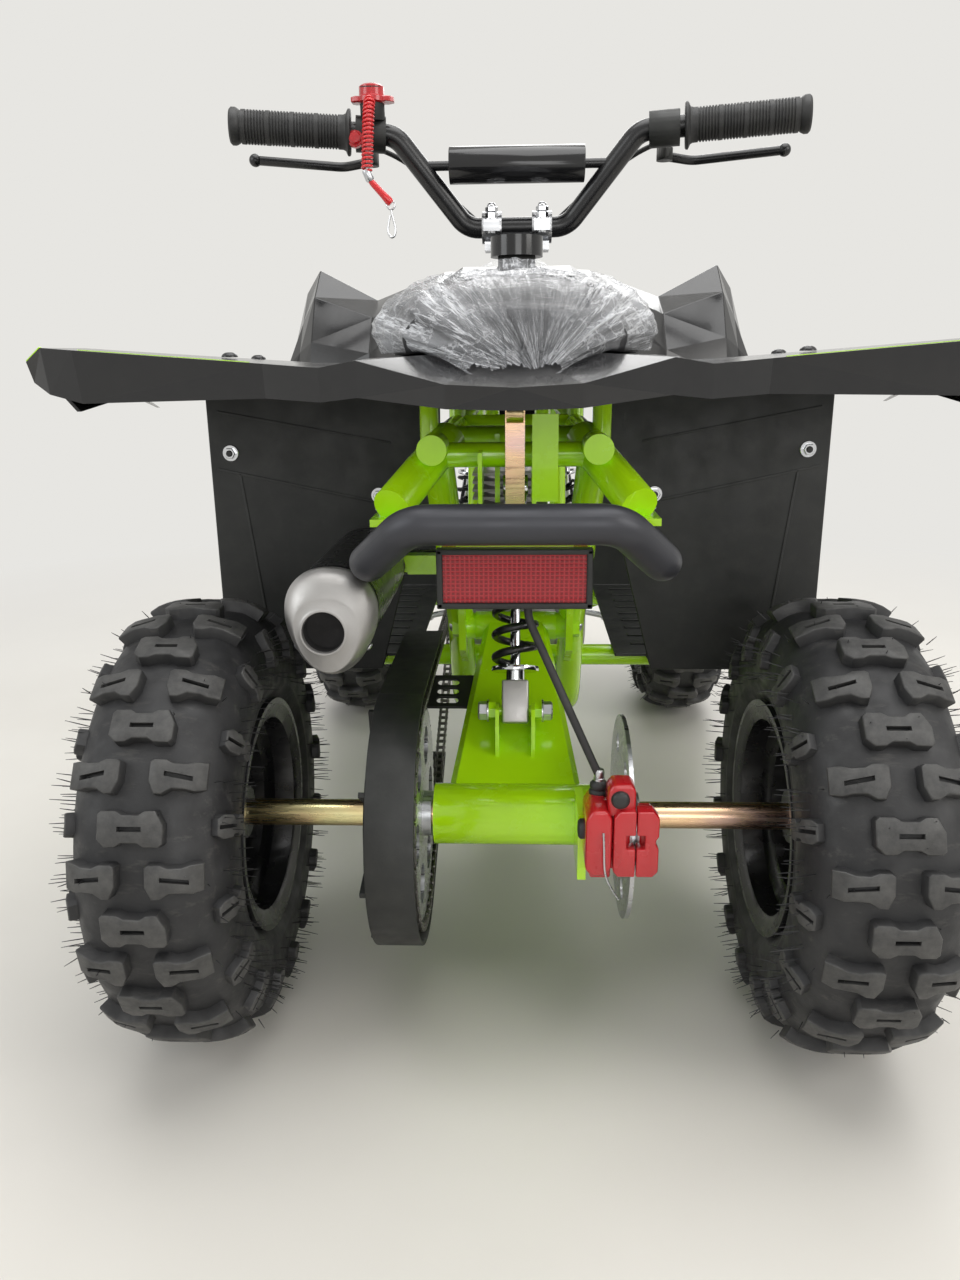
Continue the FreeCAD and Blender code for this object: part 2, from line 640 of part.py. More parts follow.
def frame():
    parts = []
    for side in (-1, 1):
        rail = [(side * rail_front_x, rail_nose_y, rail_z), (side * rail_front_x, front_y - 90, rail_z),
                (side * rail_mid_x, front_y - 200, rail_z + 4), (side * rail_mid_x, 228, 172),
                (side * rail_mid_x, pivot_y + 4, pivot_z + 6), (side * seat_rail_x, 52, seat_rail_z - 8)]
        parts.append(bent(rail, [40, 60, 60, 60], rail_r))
        spine = [(side * seat_rail_x, 6, seat_rail_z), (side * seat_rail_x, 300, seat_rail_z),
                 (side * neck_x, 520, 478), (side * neck_x, front_y - 80, 452), (side * neck_x, front_y, tower_z),
                 (side * neck_x, front_y, rail_z)]
        parts.append(bent(spine, [50, 60, 50, 30], spine_r))
        parts.append(rod((side * neck_x, front_y + 66, rail_z), (side * neck_x, front_y + 2, tower_z - 12), 8))
        parts.append(rod((side * rail_mid_x, 440, 150), (side * 46, 452, 460), 9))
        # columns: distance from the pivot in y and z
        corners = [(-26, -16), (6, -34), (40, -52), (34, 30), (-8, 44), (-34, 30)]
        plate = sheet([(side * pivot_plate_x, pivot_y + dy, pivot_z + dz) for dy, dz in corners], (side * 6, 0, 0))
        parts.append(plate)
        parts.append(rod((side * pivot_half, pivot_y, pivot_z), (side * pivot_plate_x, pivot_y, pivot_z), 12))
        parts.append(hexagon((side * (pivot_plate_x + 5), pivot_y, pivot_z), (side, 0, 0), 19, 8))
        parts.append(rod((side * (seat_rail_x - 8), 64, seat_rail_z + 4), (side * 84, -16, 402), 13.5))
        parts.append(rod((side * 64, 60, 408), (side * 64, 60, deck_z - skin - 1.8), 7))
        parts.append(block(sorted((side * 62, side * 98)), (-26, 30), (bar_seat_z, bar_seat_z + 5)))
        shock_ear = sheet([(side * 12.5, shock_top[0] - 14, shock_top[1] - 12),
                           (side * 12.5, shock_top[0] + 14, shock_top[1] - 12),
                           (side * 12.5, shock_top[0] + 12, seat_rail_z + 4),
                           (side * 12.5, shock_top[0] - 12, seat_rail_z + 4)], (side * 4, 0, 0))
        parts.append(shock_ear)
        parts.append(rod((side * seat_rail_x, 300, seat_rail_z), (side * seat_rail_x, 300, deck_z - skin), 8))
        for y, z in ((peg_rear_y, 180), (peg_front_y, 145)):
            saddle = peg_z - peg_r - 0.1
            parts.append(rod((side * rail_mid_x, y, z), (side * rail_mid_x, y, saddle), 9))
            parts.append(block(sorted((side * (rail_mid_x - 12), side * (rail_mid_x + 12))), (y - 12, y + 12), (saddle - 4, saddle)))
        for dy in (-14, 10):
            parts.append(block(sorted((side * 30, side * 76)), (front_y - 4 + dy, front_y + dy), (358, 388)))
        parts.append(rod((side * 64, front_y - 22, tower_z), (side * 64, front_y + 14, tower_z), shock_bolt_r))
        for dy in (-arm_pivot_dy, arm_pivot_dy):
            parts.append(eye((side * arm_pivot_x, front_y + dy, arm_pivot_z), (0, 1, 0), 11, 16))
            lug = sorted((side * rail_front_x, side * arm_pivot_x))
            parts.append(block(lug, (front_y + dy - 8, front_y + dy + 8), (arm_pivot_z - 10, arm_pivot_z + 8)))
        parts.append(rod((side * neck_x, front_y + 10, 330), (side * neck_x, nose_y, 330), 6))
        for y in (410, 470):
            parts.append(block(sorted((side * 36, side * 52)), (y - 8, y + 8), (448, tank_z)))
        parts.append(rod((side * neck_x, front_y, 222), (side * 13, stem_low[0] - 14, 222), 8))
        parts.append(block(sorted((side * 28, side * rail_mid_x)), (300, 380), (150, engine_z)))
    parts.append(rod((-pivot_plate_x - 4, pivot_y, pivot_z), (pivot_plate_x + 4, pivot_y, pivot_z), pivot_bolt_r))
    # columns: y, half width, z, radius
    crosses = [(front_y + 70, rail_front_x, rail_z, 10), (front_y - 80, rail_front_x, rail_z, 10),
               (40, seat_rail_x, seat_rail_z - 6, 9), (shock_top[0], seat_rail_x, seat_rail_z, 10),
               (300, seat_rail_x, seat_rail_z, 10), (front_y - 4, neck_x, tower_z + 4, 9),
               (300, rail_mid_x, 163, 9)]
    for y, x, z, r in crosses:
        parts.append(rod((-x, y, z), (x, y, z), r))
    low, top = V(0, *stem_low), V(0, *stem_top)
    d = (top - low).normalize()
    parts.append(rod(tuple(low + d * 22), tuple(low + d * 52), 17))
    parts.append(rod(tuple(low + d * 300), tuple(low + d * 340), 17))
    head = low + d * 320
    parts.append(rod((-neck_x, head.y, head.z - 4), (neck_x, head.y, head.z - 4), 8))
    parts.append(block((-38, 38), (-56, 48), (bracket_z, bracket_z + 4)))
    for x in (-26, 12):
        parts.append(block((x, x + 3), (8, 44), (bracket_z + 2, 436)))
    parts.append(block((12, 30), (8, 11), (402, 462)))
    strap = block((-100, -62), (120, 134), (326, 342)).cut(canister())
    parts.append(max(strap.Solids, key=lambda solid: solid.BoundBox.XMax))
    for side in (-1, 1):
        post = rod((side * neck_x, front_y - 40, 400), (side * 44, front_y - 44, 700), 7)
        parts.append(up_to(post, cowl()))
    body = parts[0].multiFuse(parts[1:])
    body = body.cut(rod(tuple(low + d * 10), tuple(low + d * 360), stem_r + bearing_gap))
    save("frame", body)


def foot_bars():
    """The tube loop that carries both foot boards."""
    corners = [(-peg_half, peg_rear_y), (-peg_half, peg_front_y), (peg_half, peg_front_y), (peg_half, peg_rear_y)]
    bars = []
    for (x1, y1), (x2, y2) in zip(corners, corners[1:] + corners[:1]):
        bars.append(rod((x1, y1, peg_z), (x2, y2, peg_z), peg_r))
    save("foot_bars", fused(bars + [Part.makeSphere(peg_r, V(x, y, peg_z)) for x, y in corners]))


def front_arms():
    arms = []
    for side in (-1, 1):
        parts = []
        for dy in (-arm_pivot_dy, arm_pivot_dy):
            start = (side * arm_pivot_x, front_y + dy - (16 if dy > 0 else -16), arm_pivot_z)
            parts.append(eye(start, (0, 1, 0), 11, 16))
            parts.append(rod(start, (side * (kingpin_x - 4), front_y + dy * 0.12, axle_z), 8.5))
        tube = rod((side * kingpin_x, front_y, axle_z - kingpin_half_h + 6), (side * kingpin_x, front_y, axle_z + kingpin_half_h - 6),
                   kingpin_tube_r)
        bore = rod((side * kingpin_x, front_y, axle_z - 60), (side * kingpin_x, front_y, axle_z + 60), kingpin_r + bearing_gap)
        web = sheet([(side * 84, front_y - 20, 156), (side * 112, front_y - 12, 160), (side * 112, front_y + 12, 160),
                     (side * 84, front_y + 20, 156)], (0, 0, 4))
        for dy in (-14, 11):
            parts.append(block(sorted((side * 88, side * 108)), (front_y + dy, front_y + dy + 3), (156, 186)))
        parts.append(rod((side * 98, front_y - 20, 176), (side * 98, front_y + 20, 176), shock_bolt_r))
        arms.append(fused(parts + [tube, web]).cut(bore))
    save("front_arms", arms)


def knuckle(side):
    x = side * kingpin_x
    top, bottom = axle_z + kingpin_half_h, axle_z - kingpin_half_h
    ears = []
    for z in (bottom, top - 5.6):
        ears.append(rod((x, front_y, z), (x, front_y, z + 5.6), 15))
        ears.append(block(sorted((x, x + side * 22)), (front_y - 15, front_y + 15), (z, z + 5.6)))
    plate = block(sorted((x + side * 16.5, x + side * 22)), (front_y - 15, front_y + 15), (bottom, top - 0.4))
    pin = rod((x, front_y, bottom - 8), (x, front_y, top + 6), kingpin_r)
    spindle = rod((x + side * 20, front_y, axle_z), (side * (half_track + 28), front_y, axle_z), spindle_r)
    pin_x = x + side * rod_offset
    arm = sheet([(x - side * 12, front_y - 4, bottom), (x + side * 14, front_y - 4, bottom),
                 (pin_x + side * 9, front_y - steer_arm - 8, bottom), (pin_x - side * 9, front_y - steer_arm - 8, bottom)],
                (0, 0, 5.6))
    nut = rod((pin_x, front_y - steer_arm, bottom - 4), (pin_x, front_y - steer_arm, bottom + 30), rod_pin_r)
    end = hexagon((side * (half_track + 17), front_y, axle_z), (side, 0, 0), 22, 9)
    tab_x = side * (front_disc_x - 14)
    caliper_tab = sheet([(tab_x, front_y - 8, axle_z + 6), (tab_x, front_y - 8, axle_z + 34),
                         (tab_x, front_y - 52, axle_z + 36), (tab_x, front_y - 52, axle_z + 8)],
                        (-side * 4, 0, 0))
    return fused(ears + [plate, pin, spindle, arm, nut, end, caliper_tab])


def front_caliper(side):
    """A small cable caliper behind the front axle."""
    shape = fused([block((-14, -3.4), (-16, 16), (-14, 22)), block((3.4, 9), (-15, 15), (-14, 20)),
                   block((-14, 9), (-15, 15), (17, 24))])
    if side < 0:
        shape = mirrored(shape)
    shape.rotate(V(0, 0, 0), V(1, 0, 0), 65)
    reach = front_disc_r - 12
    shape.translate(V(side * front_disc_x, front_y - reach * sin(radians(65)), axle_z + reach * cos(radians(65))))
    return shape


def front_wheels():
    for side, name in ((-1, "left"), (1, "right")):
        x = side * half_track
        save("front_tyre_" + name, tyre(x, front_y))
        rim = rim_barrel(x, front_y, side)
        hub = rod((side * (front_disc_x - 3), front_y, axle_z), (x + side * (rim_web_x + 3), front_y, axle_z), 17, spindle_r + bearing_gap)
        disc = vented_disc(side * front_disc_x, front_y, front_disc_r, disc_t, 14)
        save("front_rim_" + name, fused([rim, hub, disc]))
        save("knuckle_" + name, knuckle(side))
        save("front_caliper_" + name, front_caliper(side))


def bar_path():
    grip_end = (bar_half, 455, 743)
    half = [(56, bar_y, bar_z), (132, 478, 736), grip_end]
    return [(-x, y, z) for x, y, z in half[::-1]] + half


def steering():
    low, top = V(0, *stem_low), V(0, *stem_top)
    d = (top - low).normalize()
    back = V(0, -d.z, d.y)
    stem = rod(tuple(low), tuple(top), stem_r)
    pitman = []
    for side in (-1, 1):
        end = low + back * steer_arm + V(side * rod_offset, 0, 0)
        pitman.append(rod(tuple(end), tuple(end + d * 6), 9))
        pitman.append(rod(tuple(end), tuple(end + d * 24), rod_pin_r))
    a, b = low + V(-14, 0, 0), low + V(14, 0, 0)
    c, e = low + back * steer_arm + V(20, 0, 0), low + back * steer_arm + V(-20, 0, 0)
    lever = Part.Face(Part.makePolygon([a, b, c, e, a])).extrude(d * 6)
    collar = rod(tuple(low + d * 52.3), tuple(low + d * 60), 15)
    crown = block((-36, 36), (bar_y - 14, bar_y + 16), (bar_z - 25, bar_z - clamp_r + 1))
    clamps = [rod((side * 28 - 11, bar_y, bar_z), (side * 28 + 11, bar_y, bar_z), clamp_r, bar_r + bearing_gap)
              for side in (-1, 1)]
    bolts = [rod((side * 28, bar_y + dy, bar_z - 8), (side * 28, bar_y + dy, bar_z + 22), 4.5)
             for side in (-1, 1) for dy in (-18, 18)]
    wings = [block((side * 28 - 9, side * 28 + 9), (bar_y - 24, bar_y - bar_r - 2), (bar_z - 6, bar_z + 6)) for side in (-1, 1)]
    wings += [block((side * 28 - 9, side * 28 + 9), (bar_y + bar_r + 2, bar_y + 24), (bar_z - 6, bar_z + 6)) for side in (-1, 1)]
    save("steering_stem", fused([stem, lever, collar, crown] + pitman + clamps + wings + bolts))
    bar = bent(bar_path(), bar_bend, bar_r)
    cross = rod((-102, 485, 706), (102, 485, 706), 5)
    save("handlebar", fused([bar, cross]))
    save("bar_pad", rod((-74, 485, 706), (74, 485, 706), 19, 5 + bearing_gap))
    grips = []
    for side in (-1, 1):
        a, b = vec((side * (bar_half - grip_len), 455 + 23 * grip_len / 170, 743 - 7 * grip_len / 170)), vec((side * bar_half, 455, 743))
        d2 = (b - a).normalize()
        grips.append(fused([rod(tuple(a), tuple(b + d2 * 4), grip_r), rod(tuple(a - d2 * 4), tuple(a), 23)]).cut(
            rod(tuple(a - d2 * 8), tuple(b), bar_r + bearing_gap)))
    save("grips", grips)


def tie_rods():
    low, top = V(0, *stem_low), V(0, *stem_top)
    d = (top - low).normalize()
    back = V(0, -d.z, d.y)
    for side, name in ((-1, "left"), (1, "right")):
        inner = low + back * steer_arm + V(side * rod_offset, 0, 0) + d * 14.3
        outer = V(side * (kingpin_x + rod_offset), front_y - steer_arm, axle_z - kingpin_half_h + 5.6 + 9)
        shaft = rod(tuple(inner), tuple(outer), 4.2)
        head = rod(tuple(inner - d * 7), tuple(inner + d * 7), 9)
        cup = rod(tuple(outer - V(0, 0, 7)), tuple(outer + V(0, 0, 7)), 10)
        hole = rod(tuple(outer - V(0, 0, 20)), tuple(outer + V(0, 0, 20)), rod_eye_r)
        ball_hole = rod(tuple(inner - d * 20), tuple(inner + d * 20), rod_pin_r + bearing_gap)
        save("tie_rod_" + name, fused([shaft, head, cup]).cut(fused([hole, ball_hole])))


# Brakes

def rear_brake():
    disc = vented_disc(disc_x, 0, disc_r, disc_t, 14)
    hub = rod((carrier_right + 3, 0, axle_z), (disc_x + 12, 0, axle_z), 17, axle_r + bearing_gap)
    save("rear_brake_disc", fused([disc, hub]))
    x, t = disc_x, disc_t / 2 + 0.8
    inner = block((caliper_face, x - t), (-34, 34), (-20, 20))
    outer = block((x + t, x + 17), (-30, 30), (-18, 20))
    bridge = block((caliper_face + 6, x + 17), (-26, 26), (17.5, 25))
    window = block((x - 8, x + 8), (-9, 9), (12, 30))
    body = fused([inner, outer, bridge]).cut(window)
    pins = [rod((caliper_face - 3, dy, 21), (x + 19, dy, 21), 4) for dy in (-20, 20)]
    knob = rod((x + 16, 2, -2), (x + 22, 2, -2), 11)
    lever = block((caliper_face + 6, caliper_face + 11), (30, 48), (-6, 8))
    body = fused([body, knob, lever] + pins)
    body.rotate(V(0, 0, 0), V(1, 0, 0), 88)
    body.translate(V(0, -(disc_r - 12), axle_z + 8))
    save("rear_caliper", body)
    cable = bent([(9, -36, bracket_z - 0.4), (9, -40, 330), (36, -56, 272), (58, -58, 222.6)], [30, 30], 2.8)
    save("rear_brake_cable", cable)


# Power

def ring_fins(centre, sizes, t, pitch):
    """Square cooling fins stacked upwards. sizes are (half x, half y) from bottom to top."""
    fins = []
    for k, (hx, hy) in enumerate(sizes):
        z = centre[2] + k * pitch
        fins.append(block((centre[0] - hx, centre[0] + hx), (centre[1] - hy, centre[1] + hy), (z, z + t)))
    return fins


def engine():
    case = fused([rod((-52, 345, 232), (40, 345, 232), 52), block((-50, 36), (296, 396), (engine_z, 236)),
                  block((-34, 26), (312, 378), (270, 296))])
    gear = fused([rod((-62, drive_y, drive_z), (-50, drive_y, drive_z), 34), rod((-77, drive_y, drive_z), (-60, drive_y, drive_z), 7)])
    save("crankcase", fused([case, gear]))
    small = chain_pitch / 2 / sin(pi / drive_teeth) - chain_pin_r - 0.5
    points = []
    for k in range(drive_teeth):
        step = 2 * pi / drive_teeth
        a = k * step
        for share, r in ((-0.32, small - 3), (-0.12, small), (0.12, small), (0.32, small - 3)):
            points.append((chain_x - sprocket_t / 2, drive_y + r * cos(a + share * step), drive_z + r * sin(a + share * step)))
    save("drive_sprocket", sheet(points, (sprocket_t, 0, 0)).cut(rod((-100, drive_y, drive_z), (-60, drive_y, drive_z), 7)))
    fins = ring_fins((-4, 345, 300), [(36, 40)] * 8 + [(40, 44)] * 4, 2.6, 8.0)
    barrel = rod((-4, 345, 296), (-4, 345, 402), 27)
    plug = rod((-4, 345, 400), (-4, 345, 420), 9)
    intake = block((4, 36), (292, 320), (318, 338))
    outlet = block((-24, 0), (292, 320), (308, 330))
    save("cylinder", fused([barrel, plug, intake, outlet] + fins))
    starter = fused([rod((40, 345, 232), (66, 345, 232), 50), rod((66, 345, 232), (72, 345, 232), 36),
                     block((44, 60), (368, 396), (256, 280))])
    save("pull_starter", starter)
    carb = fused([block((6, 34), (262, 292), (312, 344)), rod((20, 276, 296), (20, 276, 314), 12)])
    save("carburettor", carb)
    save("air_filter", rod((29, 222, 328), (29, 262, 328), 27))


def canister():
    """The silencer can: a rounded triangular section along Y."""
    outline = []
    for k in range(36):
        a = 2 * pi * k / 36
        r = 32.5 + 3.2 * cos(3 * (a - pi / 2))
        outline.append((can_x + r * cos(a) * 0.95, can_rear_y, can_z + r * sin(a) * 1.08))
    return Part.Face(polygon(outline)).extrude(V(0, 170, 0))


def exhaust():
    can = canister()
    path = [(-12, 292, 319), (-12, 268, 319), (-66, 200, 322), (can_x + 9, 150, can_z - 2), (can_x + 2, 124, can_z)]
    pipe = bent(path, [20, 30, 20], 11)
    save("exhaust", fused([can, pipe]))
    cap_points = []
    for k in range(36):
        a = 2 * pi * k / 36
        r = 33.2 + 3.2 * cos(3 * (a - pi / 2))
        cap_points.append((can_x + r * cos(a) * 0.95, can_rear_y - 12, can_z + r * sin(a) * 1.08))
    cap = Part.Face(polygon(cap_points)).extrude(V(0, 12, 0))
    cap = fused([cap, rod((outlet_x, can_rear_y - 20, outlet_z), (outlet_x, can_rear_y - 8, outlet_z), 17)])
    cap = cap.cut(rod((outlet_x, can_rear_y - 28, outlet_z), (outlet_x, can_rear_y - 6, outlet_z), 14))
    save("silencer_cap", cap)


# Bodywork

# columns: x, then the shell's edge from rear to front as (y, z)
rear_skin = [
    (336, [(14, 486), (6, 500), (70, 501), (150, 497), (190, 474)]),
    (322, [(6, 478), (0, 509), (70, 510), (150, 505), (190, 474)]),
    (296, [(-2, 472), (-10, 507), (70, 508), (152, 505), (190, 474)]),
    (163, [(-26, 475), (-30, 497), (66, 498), (156, 498), (190, 474)]),
    (122, [(-50, 473), (-54, 494), (60, 495), (158, 497), (196, 480)]),
    (96, [(-64, 476), (-68, 498), (0, 500), (160, deck_z), (330, deck_z)]),
    (40, [(-94, 470), (-98, 484), (-40, deck_z), (160, deck_z), (330, deck_z)]),
    (0, [(-98, 469), (-100, 482), (-40, deck_z), (160, deck_z), (330, deck_z)]),
]

cowl_skin = [
    (285, [(550, 476), (562, 496), (590, 504), (625, 511), (680, 512), (740, 508), (780, 500), (808, 486)]),
    (268, [(540, 476), (556, 512), (585, 548), (622, 586), (680, 582), (740, 568), (786, 548), (818, 516)]),
    (250, [(520, 476), (540, 524), (575, 578), (620, 613), (680, 606), (740, 590), (790, 566), (824, 530)]),
    (175, [(500, 476), (512, 510), (550, 552), (600, 575), (660, 566), (720, 548), (790, 520), (830, 488)]),
    (86, [(396, 506), (404, 550), (470, 584), (548, 602), (640, 584), (720, 548), (815, 484), (850, 424)]),
    (60, [(392, 530), (400, 584), (470, 600), (545, 603), (640, 590), (720, 556), (820, 490), (868, 420)]),
    (0, [(392, 534), (400, 586), (470, 600), (545, 603), (640, 590), (720, 556), (820, 490), (872, 420)]),
]


def across(table):
    rows = table + [(-x, chain) for x, chain in table[-2::-1]]
    return skin_across(rows, skin)


def rear_fender():
    shell = across(rear_skin)
    lips = []
    for side in (-1, 1):
        # columns: y, then (x, z) of the lip's top and bottom
        rows = [(16, 336, 499, 309, 466), (70, 336, 500, 312, 470), (150, 336, 496, 312, 468), (182, 336, 478, 314, 462)]
        wires = [polygon([(side * a, y, b), (side * c, y, e), (side * (c - 3), y, e), (side * (a - 3), y, b - 1)])
                 for y, a, b, c, e in rows]
        lips.append(Part.makeLoft(wires, True, True))
    save("rear_fender", fused([shell] + lips))


def cowl():
    """The front fender and tank cover in one moulding."""
    return across(cowl_skin)


def front_body():
    shell = cowl()
    low, top = V(0, *stem_low), V(0, *stem_top)
    d = (top - low).normalize()
    shell = shell.cut(rod(tuple(low + d * 400), tuple(low + d * 560), 24))
    shell = shell.cut(rod((0, 434, 560), (0, 434, 640), 24))
    save("front_fender", shell)
    mask = Part.Face(polygon([(-70, nose_y, 300), (70, nose_y, 300), (84, nose_y, 380), (62, nose_y, 418), (-62, nose_y, 418), (-84, nose_y, 380)]))
    mask = mask.extrude(V(0, skin, 0))
    lamps = [rod((side * 38, 850, 376), (side * 38, 876, 376), 27) for side in (-1, 1)]
    arms = [rod((side * 30, 780, 376), (side * 30, 858, 376), 7) for side in (-1, 1)]
    save("nose_panel", fused([mask.cut(fused(lamps)).cut(rod((0, 1, 1), (0, 2, 1), 0.5))]))
    save("headlamps", fused([rod((side * 38, 846, 376), (side * 38, 872, 376), 26.9) for side in (-1, 1)] + [rod((-40, 850, 376), (40, 850, 376), 8)]))


def foot_boards():
    boards = []
    for side in (-1, 1):
        floor = sheet([(side * board_inner_x, flap_y + skin, board_z - skin), (side * flap_x, flap_y + skin, board_z - skin),
                       (side * flap_x, 478, board_z - skin), (side * board_inner_x, 478, board_z - skin)], (0, 0, skin))
        flap = sheet([(side * 125, flap_y, 221), (side * flap_x, flap_y, 221), (side * flap_x, flap_y, 470),
                      (side * 76, flap_y, 470), (side * 80, flap_y, 392)], (0, skin, 0))
        wall = sheet([(side * board_inner_x, 475, board_z - skin), (side * flap_x, 475, board_z - skin),
                      (side * flap_x, 512, 474), (side * board_inner_x, 512, 474)], (0, skin, 0))
        boards.append(fused([floor, flap, wall]))
    save("foot_boards", boards)


def seat():
    # columns: y, half width at the base, half width at the top, base z, top z
    rows = [(-36, 60, 52, deck_z, 516), (10, 86, 74, deck_z, 534), (100, 96, 82, deck_z, 548), (200, 95, 80, deck_z, 552),
            (300, 84, 66, deck_z, 562), (350, 76, 56, 504, 578), (384, 56, 40, 520, 594)]
    wires = [polygon([(-a, y, z0), (a, y, z0), (a, y, z0 + (z1 - z0) * 0.5), (b, y, z1), (-b, y, z1), (-a, y, z0 + (z1 - z0) * 0.5)])
             for y, a, b, z0, z1 in rows]
    save("seat", Part.makeLoft(wires, True, True))


def tank():
    body = block((-62, 62), (410, 478), (tank_z, 560))
    neck = rod((0, 434, 555), (0, 434, 606), 20)
    save("fuel_tank", fused([body, neck]))
    save("fuel_cap", rod((0, 434, 606), (0, 434, 626), 28))


def rails():
    path = [(-88, 24, bar_seat_z - 12.5), (-97, -60, 370), (-64, -92, 402), (64, -92, 402), (97, -60, 370), (88, 24, bar_seat_z - 12.5)]
    save("rear_grab_bar", bent(path, [22, 26, 26, 22], 12.5))
    half = [(bumper_half, bumper_y, bumper_top), (bumper_half - 12, bumper_y, 235), (rail_front_x, bumper_y - 12, rail_z),
            (rail_front_x, rail_nose_y, rail_z)]
    hoop = [(-x, y, z) for x, y, z in half[::-1]] + half
    bars = [bent(hoop, [40, 60, 26, 26, 60, 40], bumper_r), rod((-bumper_half + 12, bumper_y, 240), (bumper_half - 12, bumper_y, 240), 9)]
    save("front_bumper", fused(bars))


def reflector():
    save("rear_reflector", block((-47.5, 47.5), (-66, -52), (345, bracket_z)))
    latch = block((-7, 7), (27, 31), (396, 470))
    save("seat_latch", fused([latch, rod((-6, 27, 462), (6, 27, 462), 7)]))


def controls():
    bar = bent(bar_path(), bar_bend, bar_r + bearing_gap)
    housings = []
    for side in (-1, 1):
        a, b = vec((side * 142, 476.6, 735.6)), vec((side * 174, 472.3, 736.9))
        ring = rod(tuple(a), tuple(b), 18)
        arm = rod((side * 160, 476, 733), (side * 164, 520, 721), 7)
        knuckle = rod((side * 166, 524, 714), (side * 166, 524, 727), 9)
        housings.append(fused([ring, arm, knuckle]))
    cap = rod((-154, 466, 748), (-154, 462, 779), 13)
    body = [fused([housings[0], cap]).cut(bar), housings[1].cut(bar)]
    save("hand_controls", body)
    levers = []
    for side in (-1, 1):
        path = [(side * 168, 534, 720.5), (side * 200, 542, 717), (side * 298, 520, 722)]
        blade = bent(path, [30], 5)
        end = Part.makeSphere(7, V(side * 298, 520, 722))
        levers.append(fused([blade, end]).cut(rod((side * 166, 524, 700), (side * 166, 524, 740), 9 + bearing_gap)))
    save("brake_levers", levers)
    save("stop_lanyard", bent([(-154, 449.8, 765), (-154, 436, 763), (-158, 434, 690)], [8], 3))


os.makedirs("parts", exist_ok=True)
rear_wheels()
sprocket()
chain()
chain_guard()
swing_arm()
shocks()
frame()
foot_bars()
front_arms()
front_wheels()
steering()
tie_rods()
rear_brake()
engine()
exhaust()
rear_fender()
front_body()
foot_boards()
seat()
tank()
rails()
reflector()
controls()
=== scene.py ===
"""Looks for the quad bike: finishes for the CAD pieces, and modelled tyres, seat, springs, cord and fittings.

Sizes are in millimetres and points are measured from the rear axle, unless a line says otherwise.
"""
import json
from math import cos, hypot, pi, radians, sin

import bmesh
import bpy
import numpy as np
from mathutils import Matrix, Vector
from mathutils.noise import fractal


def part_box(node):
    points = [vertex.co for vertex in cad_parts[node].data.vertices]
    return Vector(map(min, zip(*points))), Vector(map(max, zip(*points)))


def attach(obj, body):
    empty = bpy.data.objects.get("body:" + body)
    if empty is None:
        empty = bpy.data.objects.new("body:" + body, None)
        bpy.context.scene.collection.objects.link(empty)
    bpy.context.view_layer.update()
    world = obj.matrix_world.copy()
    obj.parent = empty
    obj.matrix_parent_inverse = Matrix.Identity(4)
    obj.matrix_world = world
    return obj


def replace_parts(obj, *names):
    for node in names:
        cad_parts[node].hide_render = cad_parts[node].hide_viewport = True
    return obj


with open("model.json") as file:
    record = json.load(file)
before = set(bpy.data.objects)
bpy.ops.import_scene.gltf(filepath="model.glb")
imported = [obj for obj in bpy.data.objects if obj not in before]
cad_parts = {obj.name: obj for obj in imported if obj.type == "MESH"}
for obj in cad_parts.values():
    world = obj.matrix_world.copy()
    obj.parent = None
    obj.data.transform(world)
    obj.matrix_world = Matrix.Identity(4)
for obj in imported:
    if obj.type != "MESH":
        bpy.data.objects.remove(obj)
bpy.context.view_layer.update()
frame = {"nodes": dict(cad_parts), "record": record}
rng = np.random.default_rng(7)

MM = 0.001
SIDES = (-1, 1)
# the CAD source draws from the rear axle; in metres, the axle stands here in the row frame
AXLE_Y, AXLE_Z = (sum(corner[k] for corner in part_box("rear_axle")) / 2 for k in (1, 2))


# Materials: distances in metres

def feed(owner, made, inputs):
    """Sets a node's inputs, each to a value or to a socket that it is linked to."""
    for key, value in inputs.items():
        socket = made.inputs[key]
        if isinstance(value, bpy.types.NodeSocket):
            owner.node_tree.links.new(value, socket)
        else:
            socket.default_value = (*value, 1) if socket.type == "RGBA" else value


def node(owner, kind, inputs={}, **settings):
    """A new shader node, with inputs as feed takes them and settings as its properties."""
    made = owner.node_tree.nodes.new("ShaderNode" + kind)
    for key, value in settings.items():
        setattr(made, key, value)
    feed(owner, made, inputs)
    return made


def shade(mat, inputs):
    feed(mat, mat.node_tree.nodes["Principled BSDF"], inputs)


def new_material(name, color, rough, metal=0.0, coat=0.0, coat_rough=0.1):
    mat = bpy.data.materials.new(name)
    mat.use_nodes = True
    shade(mat, {"Base Color": color, "Roughness": rough, "Metallic": metal, "Coat Weight": coat,
                "Coat Roughness": coat_rough})
    return mat


def coordinates(mat, stretch=(1, 1, 1)):
    """Object coordinates, stretched along the axes."""
    source = node(mat, "TexCoord").outputs["Object"]
    return node(mat, "Mapping", {"Vector": source, "Scale": stretch}).outputs["Vector"]


def noise(mat, vector, scale, detail=4.0, rough=0.55):
    values = {"Vector": vector, "Scale": scale, "Detail": detail, "Roughness": rough}
    return node(mat, "TexNoise", values).outputs["Fac"]


def spread(mat, value, low, high, start=0.3, end=0.7):
    """A value remapped to run from low to high."""
    values = {"Value": value, "From Min": start, "From Max": end, "To Min": low, "To Max": high}
    return node(mat, "MapRange", values).outputs["Result"]


def combine(owner, operation, a, b=0.5):
    """The result of a sum on one or two values, each a socket or a number."""
    return node(owner, "Math", {0: a, 1: b}, operation=operation).outputs["Value"]


def blend_color(mat, share, a, b):
    return node(mat, "Mix", {0: share, 6: a, 7: b}, data_type="RGBA").outputs[2]


def mottled(mat, at, scale, dark, light, detail=4.0):
    """A colour that drifts between two tones."""
    return blend_color(mat, spread(mat, noise(mat, at, scale, detail), 0, 1), dark, light)


